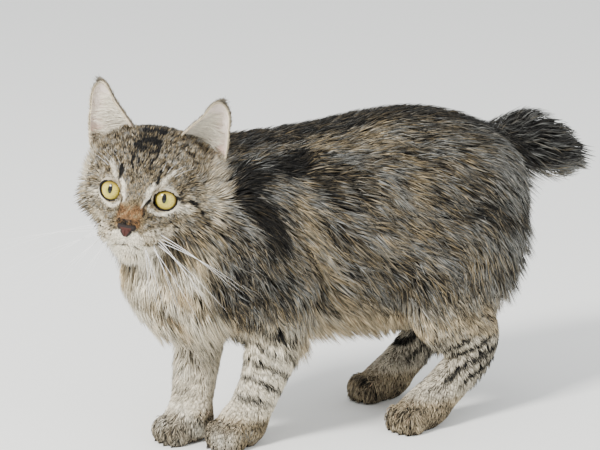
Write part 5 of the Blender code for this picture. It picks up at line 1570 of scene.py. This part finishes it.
def ear_point(share, across):
    """A point of the ear's back: across runs from the inner edge to the outer one."""
    inner, outer = ear_row(min(share, 1.0))
    low_inner, low_outer = ear_row(0.0)
    back = (Vector(EAR_TIP) - low_inner).cross(low_outer - low_inner).normalized()
    depth = EAR_DEPTH * math.sqrt(max(1.0 - share, 0.0)) * (0.55 + 0.45 * (1 - share))
    turn = across * math.pi
    return inner.lerp(outer, (1 - math.cos(turn)) / 2) + back * depth * math.sin(turn)


EAR_ROWS = 36
EAR_COLUMNS = 36
EAR_FROM = -0.12
EAR_RUN = 1.115
EAR_THICKNESS = 0.0012


def ear_sheet(side, name):
    """The cup of an ear with no thickness, and on each point how far up and across the ear it is."""
    sheet = bmesh.new()
    rows = []
    spread = []
    for i in range(EAR_ROWS + 1):
        share = EAR_FROM + EAR_RUN * i / EAR_ROWS
        row = []
        for k in range(EAR_COLUMNS + 1):
            across = k / EAR_COLUMNS
            point = ear_point(share, across)
            row.append(sheet.verts.new(HEAD @ Vector((side * point.x, point.y, point.z))))
            spread.append((max(share, 0.0), across, 0.0))
        rows.append(row)
    for low, high in zip(rows, rows[1:]):
        for a, b, c, d in zip(low, low[1:], high[1:], high):
            sheet.faces.new((a, b, c, d)[:: -side])
    ear = mesh_object(f"{name}_skin", sheet)
    store(ear.data, "spread", np.array(spread))
    return ear


def make_ear(side, name, material):
    """An ear as a thin rounded cup. The third number on its points says whether they are on its back."""
    ear = ear_sheet(side, name)
    thick = ear.modifiers.new("thickness", "SOLIDIFY")
    thick.thickness = EAR_THICKNESS
    thick.offset = 0.0
    bake_modifiers(ear)
    behind = from_head([(0, 1, 0)]) - from_head([(0, 0, 0)])
    rows = np.ones((len(ear.data.vertices), 4), np.float32)
    layer = ear.data.attributes["spread"].data
    layer.foreach_get("color", rows.ravel())
    rows[:, 2] = fade(mesh_points(ear.data, "normal") @ behind[0], -0.1, 0.1)
    layer.foreach_set("color", rows.ravel())
    place_mesh(ear)
    smooth_shading(ear)
    finish(ear, material, "ear_skin", name)


def ear_material():
    """Thin skin, greyish pink inside and pinker and darker towards its base, partly the skin's own pink and
    partly painted shade deep in the cup, with a cream rim and a dark back.
    """
    sheet = Sheet("ear_skin", Roughness=0.6, Specular_IOR_Level=0.3)
    up, across, back = sheet.attribute("spread")
    rim = sheet.between(across * (1 - across), 0.035, 0.008)
    pink = sheet.mix(srgb(226, 206, 196), srgb(210, 202, 192), sheet.noise(160.0))
    # Pinker and darker towards the base: partly the skin's own pink and partly painted shade deep in the cup
    pink = sheet.mix(srgb(214, 176, 164), pink, sheet.between(up, 0.05, 0.45))
    pink = sheet.mix(pink, srgb(120, 108, 90), back)
    colour = sheet.mix(pink, srgb(232, 216, 184), rim)
    sheet.feed("Base Color", colour)
    sheet.bump(sheet.noise(500.0, 4.0), 0.4, 0.0004)
    return sheet.material


# The fur of the ears: for each sort of hair how many an ear has, over which shares of the way up and
# across it grows, how long and wide it is in millimetres, how far it leans up, outward across the cup
# and away from the ear, on which face of the ear it is, and how dark, warm and pale it is
EAR_FUR = (
    (5200, (-0.06, 0.97), (0.04, 0.96), 5.0, 0.50, (1.0, 0.0, 0.20), 1, (0.62, 0.60, 0.10)),
    (420, (0.02, 0.99), (0.00, 0.05), 3.2, 0.36, (1.0, -0.5, 0.15), 1, (0.16, 0.70, 0.45)),
    (420, (0.02, 0.99), (0.95, 1.00), 3.2, 0.36, (1.0, 0.5, 0.15), 1, (0.16, 0.70, 0.45)),
    (110, (0.93, 0.99), (0.10, 0.90), 7.0, 0.36, (1.0, 0.1, 0.10), 1, (0.70, 0.30, 0.10)),
    (620, (0.00, 0.62), (0.03, 0.30), 15.0, 0.34, (0.55, 1.0, 0.42), -1, (0.00, 0.15, 0.95)),
    (300, (0.00, 0.40), (0.30, 0.60), 13.0, 0.34, (0.75, 0.8, 0.55), -1, (0.04, 0.20, 0.90)),
    (700, (0.10, 0.95), (0.10, 0.90), 4.0, 0.30, (1.0, 0.2, 0.18), -1, (0.14, 0.45, 0.60)),
    (320, (-0.08, 0.14), (0.55, 0.98), 9.0, 0.45, (0.9, 0.6, 0.45), -1, (0.22, 0.60, 0.45)),
)


EAR_FUR_SEED = 29
EAR_STEP = 0.01
EAR_HAIR_SINKS = (0, 0, 0.12)


def ear_hairs(draw):
    """Places for the hair of a left ear, with the ear's own directions there and the sort of hair."""
    keys = ("root", "out", "up", "over", "size", "lean", "marks", "place")
    rows = []
    for count, ups, overs, length, width, lean, face, marks in EAR_FUR:
        for _ in range(count):
            share, across = draw.uniform(*ups), draw.uniform(*overs)
            here = ear_point(share, across)
            up = (here - ear_point(share - EAR_STEP, across)).normalized()
            over = ear_point(share, min(across + EAR_STEP, 1)) - ear_point(share, max(across - EAR_STEP, 0))
            over = over.normalized()
            out = up.cross(over).normalized() * face
            place = (share * 0.4 + 0.1, across * 0.4 + 0.1 + 0.45 * (face < 0))
            rows.append((here, out, up, over, (length / 1000, width / 1000), lean, marks, place))
    return {key: np.array([row[k] for row in rows]) for k, key in enumerate(keys)}


def make_ear_fur(side, name, material):
    """Short hair on an ear's back and rims, a wisp at its tip and long white hair across its cup."""
    draw = np.random.default_rng(EAR_FUR_SEED)
    hairs = ear_hairs(draw)
    root, out = hairs["root"], hairs["out"]
    count = len(root)
    lean = hairs["lean"] + draw.normal(0, 0.14, (count, 3))
    way = unit(hairs["up"] * lean[:, :1] + hairs["over"] * lean[:, 1:2] + out * lean[:, 2:])
    bent = unit(way + out * 0.10 - EAR_HAIR_SINKS)
    length = (hairs["size"][:, 0] * draw.uniform(0.7, 1.25, count))[:, None]
    middles = root + way * length * 0.5
    tips = middles + bent * length * 0.5
    mirror = np.array((side, 1, 1))
    root, middles, tips = (from_head(p * mirror) for p in (root - out * 0.0003, middles, tips))
    out = from_head(out * mirror) - from_head(np.zeros((1, 3)))
    across = unit(np.cross(tips - root, out))
    marks = np.clip(hairs["marks"] + draw.normal(0, 0.10, (count, 3)), 0, 1)
    strand = np.stack([np.zeros(count), draw.random(count), draw.uniform(-0.2, 0.3, count)], axis=1)
    widths = hairs["size"][:, 1] * draw.uniform(0.75, 1.2, count)
    fur = tuft_mesh(f"fur_{name}", {
        "rings": [root, middles], "tips": tips, "across": [across] * 2, "outward": [out] * 2,
        "widths": widths, "marks": marks, "strand": strand, "places": hairs["place"],
    })
    finish(fur, material, "ear_skin")


# The whiskers
WHISKER_SEED = 17
LONG_WHISKERS = 12
WHISKER_LENGTH = 0.079
WHISKER_SHORTER = 0.0026
WHISKER_RADIUS = 0.00021
BROW_HAIRS = 4
BROW_LENGTH = 0.030
BROW_DROOP = 0.25
BROW_RADIUS = 0.00014
HAIR_RINGS = 14
HAIR_SIDES = 5
HAIR_TAPER = 0.92


def make_whiskers(material):
    """Long white whiskers from each pad and a few over each eye, one mesh a side."""
    draw = np.random.default_rng(WHISKER_SEED)
    for side, name in ((1, "left"), (-1, "right")):
        hairs = bmesh.new()
        for i in range(LONG_WHISKERS):
            below = math.radians(4 + 6.2 * i + draw.uniform(-2.5, 2.5))
            length = WHISKER_LENGTH - WHISKER_SHORTER * i + draw.uniform(-0.010, 0.003)
            way = Vector((side * math.cos(below), -WHISKER_FORWARD, -math.sin(below))).normalized()
            row, place = (i % 3) - 1, i // 3
            offset = Vector((0.0045 - 0.0030 * place, 0.0016 * (1 - place), 0.0028 * row))
            root = Vector(WHISKER_ROOT) + offset
            root.x *= side
            add_hair(hairs, root, way, length, WHISKER_DROOP, WHISKER_RADIUS)
        for i in range(BROW_HAIRS):
            way = Vector((side * (0.25 + 0.16 * i), -0.45, 0.85)).normalized()
            root = Vector((side * (0.013 + 0.0024 * i), 0.002, 0.013))
            add_hair(hairs, root, way, BROW_LENGTH, BROW_DROOP, BROW_RADIUS)
        whiskers = mesh_object(f"whiskers_{name}", hairs)
        place_mesh(whiskers)
        smooth_shading(whiskers)
        finish(whiskers, material, "whisker", *[f"whisker_{name}_{i}" for i in range(1, 6)])


def add_hair(target, root, way, length, droop, radius):
    """A tapered hair that bends down towards its tip."""
    rings = []
    across = way.cross(Vector((0, 1, 0))).normalized()
    over = way.cross(across)
    for share in np.linspace(0, 1, HAIR_RINGS):
        middle = root + way * length * share + Vector((0, 0, -droop * length * share**2))
        thick = radius * (1 - HAIR_TAPER * share)
        turns = [2 * math.pi * k / HAIR_SIDES for k in range(HAIR_SIDES)]
        rings.append([HEAD @ (middle + (across * math.cos(t) + over * math.sin(t)) * thick) for t in turns])
    add_loft(target, rings)


# The stage, light and camera
VIEW_AZIMUTH = math.radians(61)
VIEW_ELEVATION = math.radians(14)
VIEW_DISTANCE = 1.6
METRES_A_PIXEL = 0.00074
PICTURE_WIDTH = 600
MIDDLE_PIXEL = (300, 270)
PICTURE_MIDDLE = (300, 225)
VIEW_TARGET = Vector((0, 0, 0.12))
SENSOR = 36
FLOOR_RADIUS = 6.0
# Lamps: where each stands, as right, towards the camera and up from the cat, its size, power and colour
LAMPS = (
    ("key", (-1.3, 1.5, 1.7), 0.50, 112, (1.0, 0.985, 0.96)),
    ("fill", (1.8, 1.6, 1.2), 1.6, 12, (0.95, 0.97, 1.0)),
)
ROOM_COLOUR = (0.95, 0.97, 1.0, 1.0)
ROOM_STRENGTH = 1.32


def make_stage():
    """A plain pale floor, wide enough to fill the picture."""
    disc = bmesh.new()
    bmesh.ops.create_circle(disc, cap_ends=True, segments=96, radius=FLOOR_RADIUS)
    floor = mesh_object("floor", disc)
    sheet = Sheet("pale_paper", Roughness=0.85, Specular_IOR_Level=0.2)
    tone = sheet.mix(srgb(243, 243, 238), srgb(247, 247, 243), sheet.noise(1.5))
    sheet.feed("Base Color", tone)
    floor.data.materials.append(sheet.material)


def add_light(name, place, size, power, colour):
    lamp = bpy.data.lights.new(name, "AREA")
    lamp.size = size
    lamp.energy = power
    lamp.color = colour
    obj = bpy.data.objects.new(name, lamp)
    bpy.context.scene.collection.objects.link(obj)
    obj.location = place
    obj.rotation_mode = "QUATERNION"
    obj.rotation_quaternion = (VIEW_TARGET - place).to_track_quat("-Z", "Y")


def make_light():
    right = Vector((math.cos(VIEW_AZIMUTH), math.sin(VIEW_AZIMUTH), 0))
    near = Vector((math.sin(VIEW_AZIMUTH), -math.cos(VIEW_AZIMUTH), 0))
    for name, (aside, ahead, up), size, power, colour in LAMPS:
        add_light(name, aside * right + ahead * near + Vector((0, 0, up)), size, power, colour)
    world = bpy.data.worlds.new("soft_room")
    bpy.context.scene.world = world
    world.use_nodes = True
    background = world.node_tree.nodes["Background"]
    background.inputs["Color"].default_value = ROOM_COLOUR
    background.inputs["Strength"].default_value = ROOM_STRENGTH


def make_camera():
    back = Vector((
        math.sin(VIEW_AZIMUTH) * math.cos(VIEW_ELEVATION), -math.cos(VIEW_AZIMUTH) * math.cos(VIEW_ELEVATION),
        math.sin(VIEW_ELEVATION),
    ))
    lens = bpy.data.cameras.new("camera")
    camera = bpy.data.objects.new("camera", lens)
    bpy.context.scene.collection.objects.link(camera)
    camera.location = VIEW_TARGET + SHIFT + back * VIEW_DISTANCE
    camera.rotation_mode = "QUATERNION"
    camera.rotation_quaternion = (-back).to_track_quat("-Z", "Y")
    lens.sensor_width = SENSOR
    lens.lens = SENSOR * VIEW_DISTANCE / METRES_A_PIXEL / PICTURE_WIDTH
    lens.shift_y = (MIDDLE_PIXEL[1] - PICTURE_MIDDLE[1]) / PICTURE_WIDTH
    bpy.context.scene.camera = camera


FLESH = (
    "head", "neck", "torso", "tail", "foreleg_left", "foreleg_right", "thigh_left", "thigh_right",
    "hindleg_left", "hindleg_right", "forepaw_left", "forepaw_right", "hindpaw_left", "hindpaw_right",
)


def main():
    skin = make_skin()
    bed = Bed(skin)
    unwrap = coarse_unwrap(skin)
    store(skin.data, "marks", marks_at(bed.points))
    fur = fur_material()
    make_coat(bed, unwrap, fur)
    place_mesh(skin)
    finish(skin, skin_material(), "torso_coat", *FLESH)
    wet = eye_material()
    rims = plain_material("lid_rim", srgb(20, 16, 15), 0.6, Specular_IOR_Level=0.15)
    leather = ear_material()
    for side, name in ((1, "left"), (-1, "right")):
        make_eye(side, f"eye_{name}", wet)
        make_lids(side, f"lids_{name}", rims)
        make_ear(side, f"ear_{name}", leather)
        make_ear_fur(side, f"ear_{name}", fur)
    make_nose(nose_material())
    make_whiskers(plain_material("whisker", srgb(252, 251, 248), 0.35))
    make_stage()
    make_light()
    make_camera()


main()
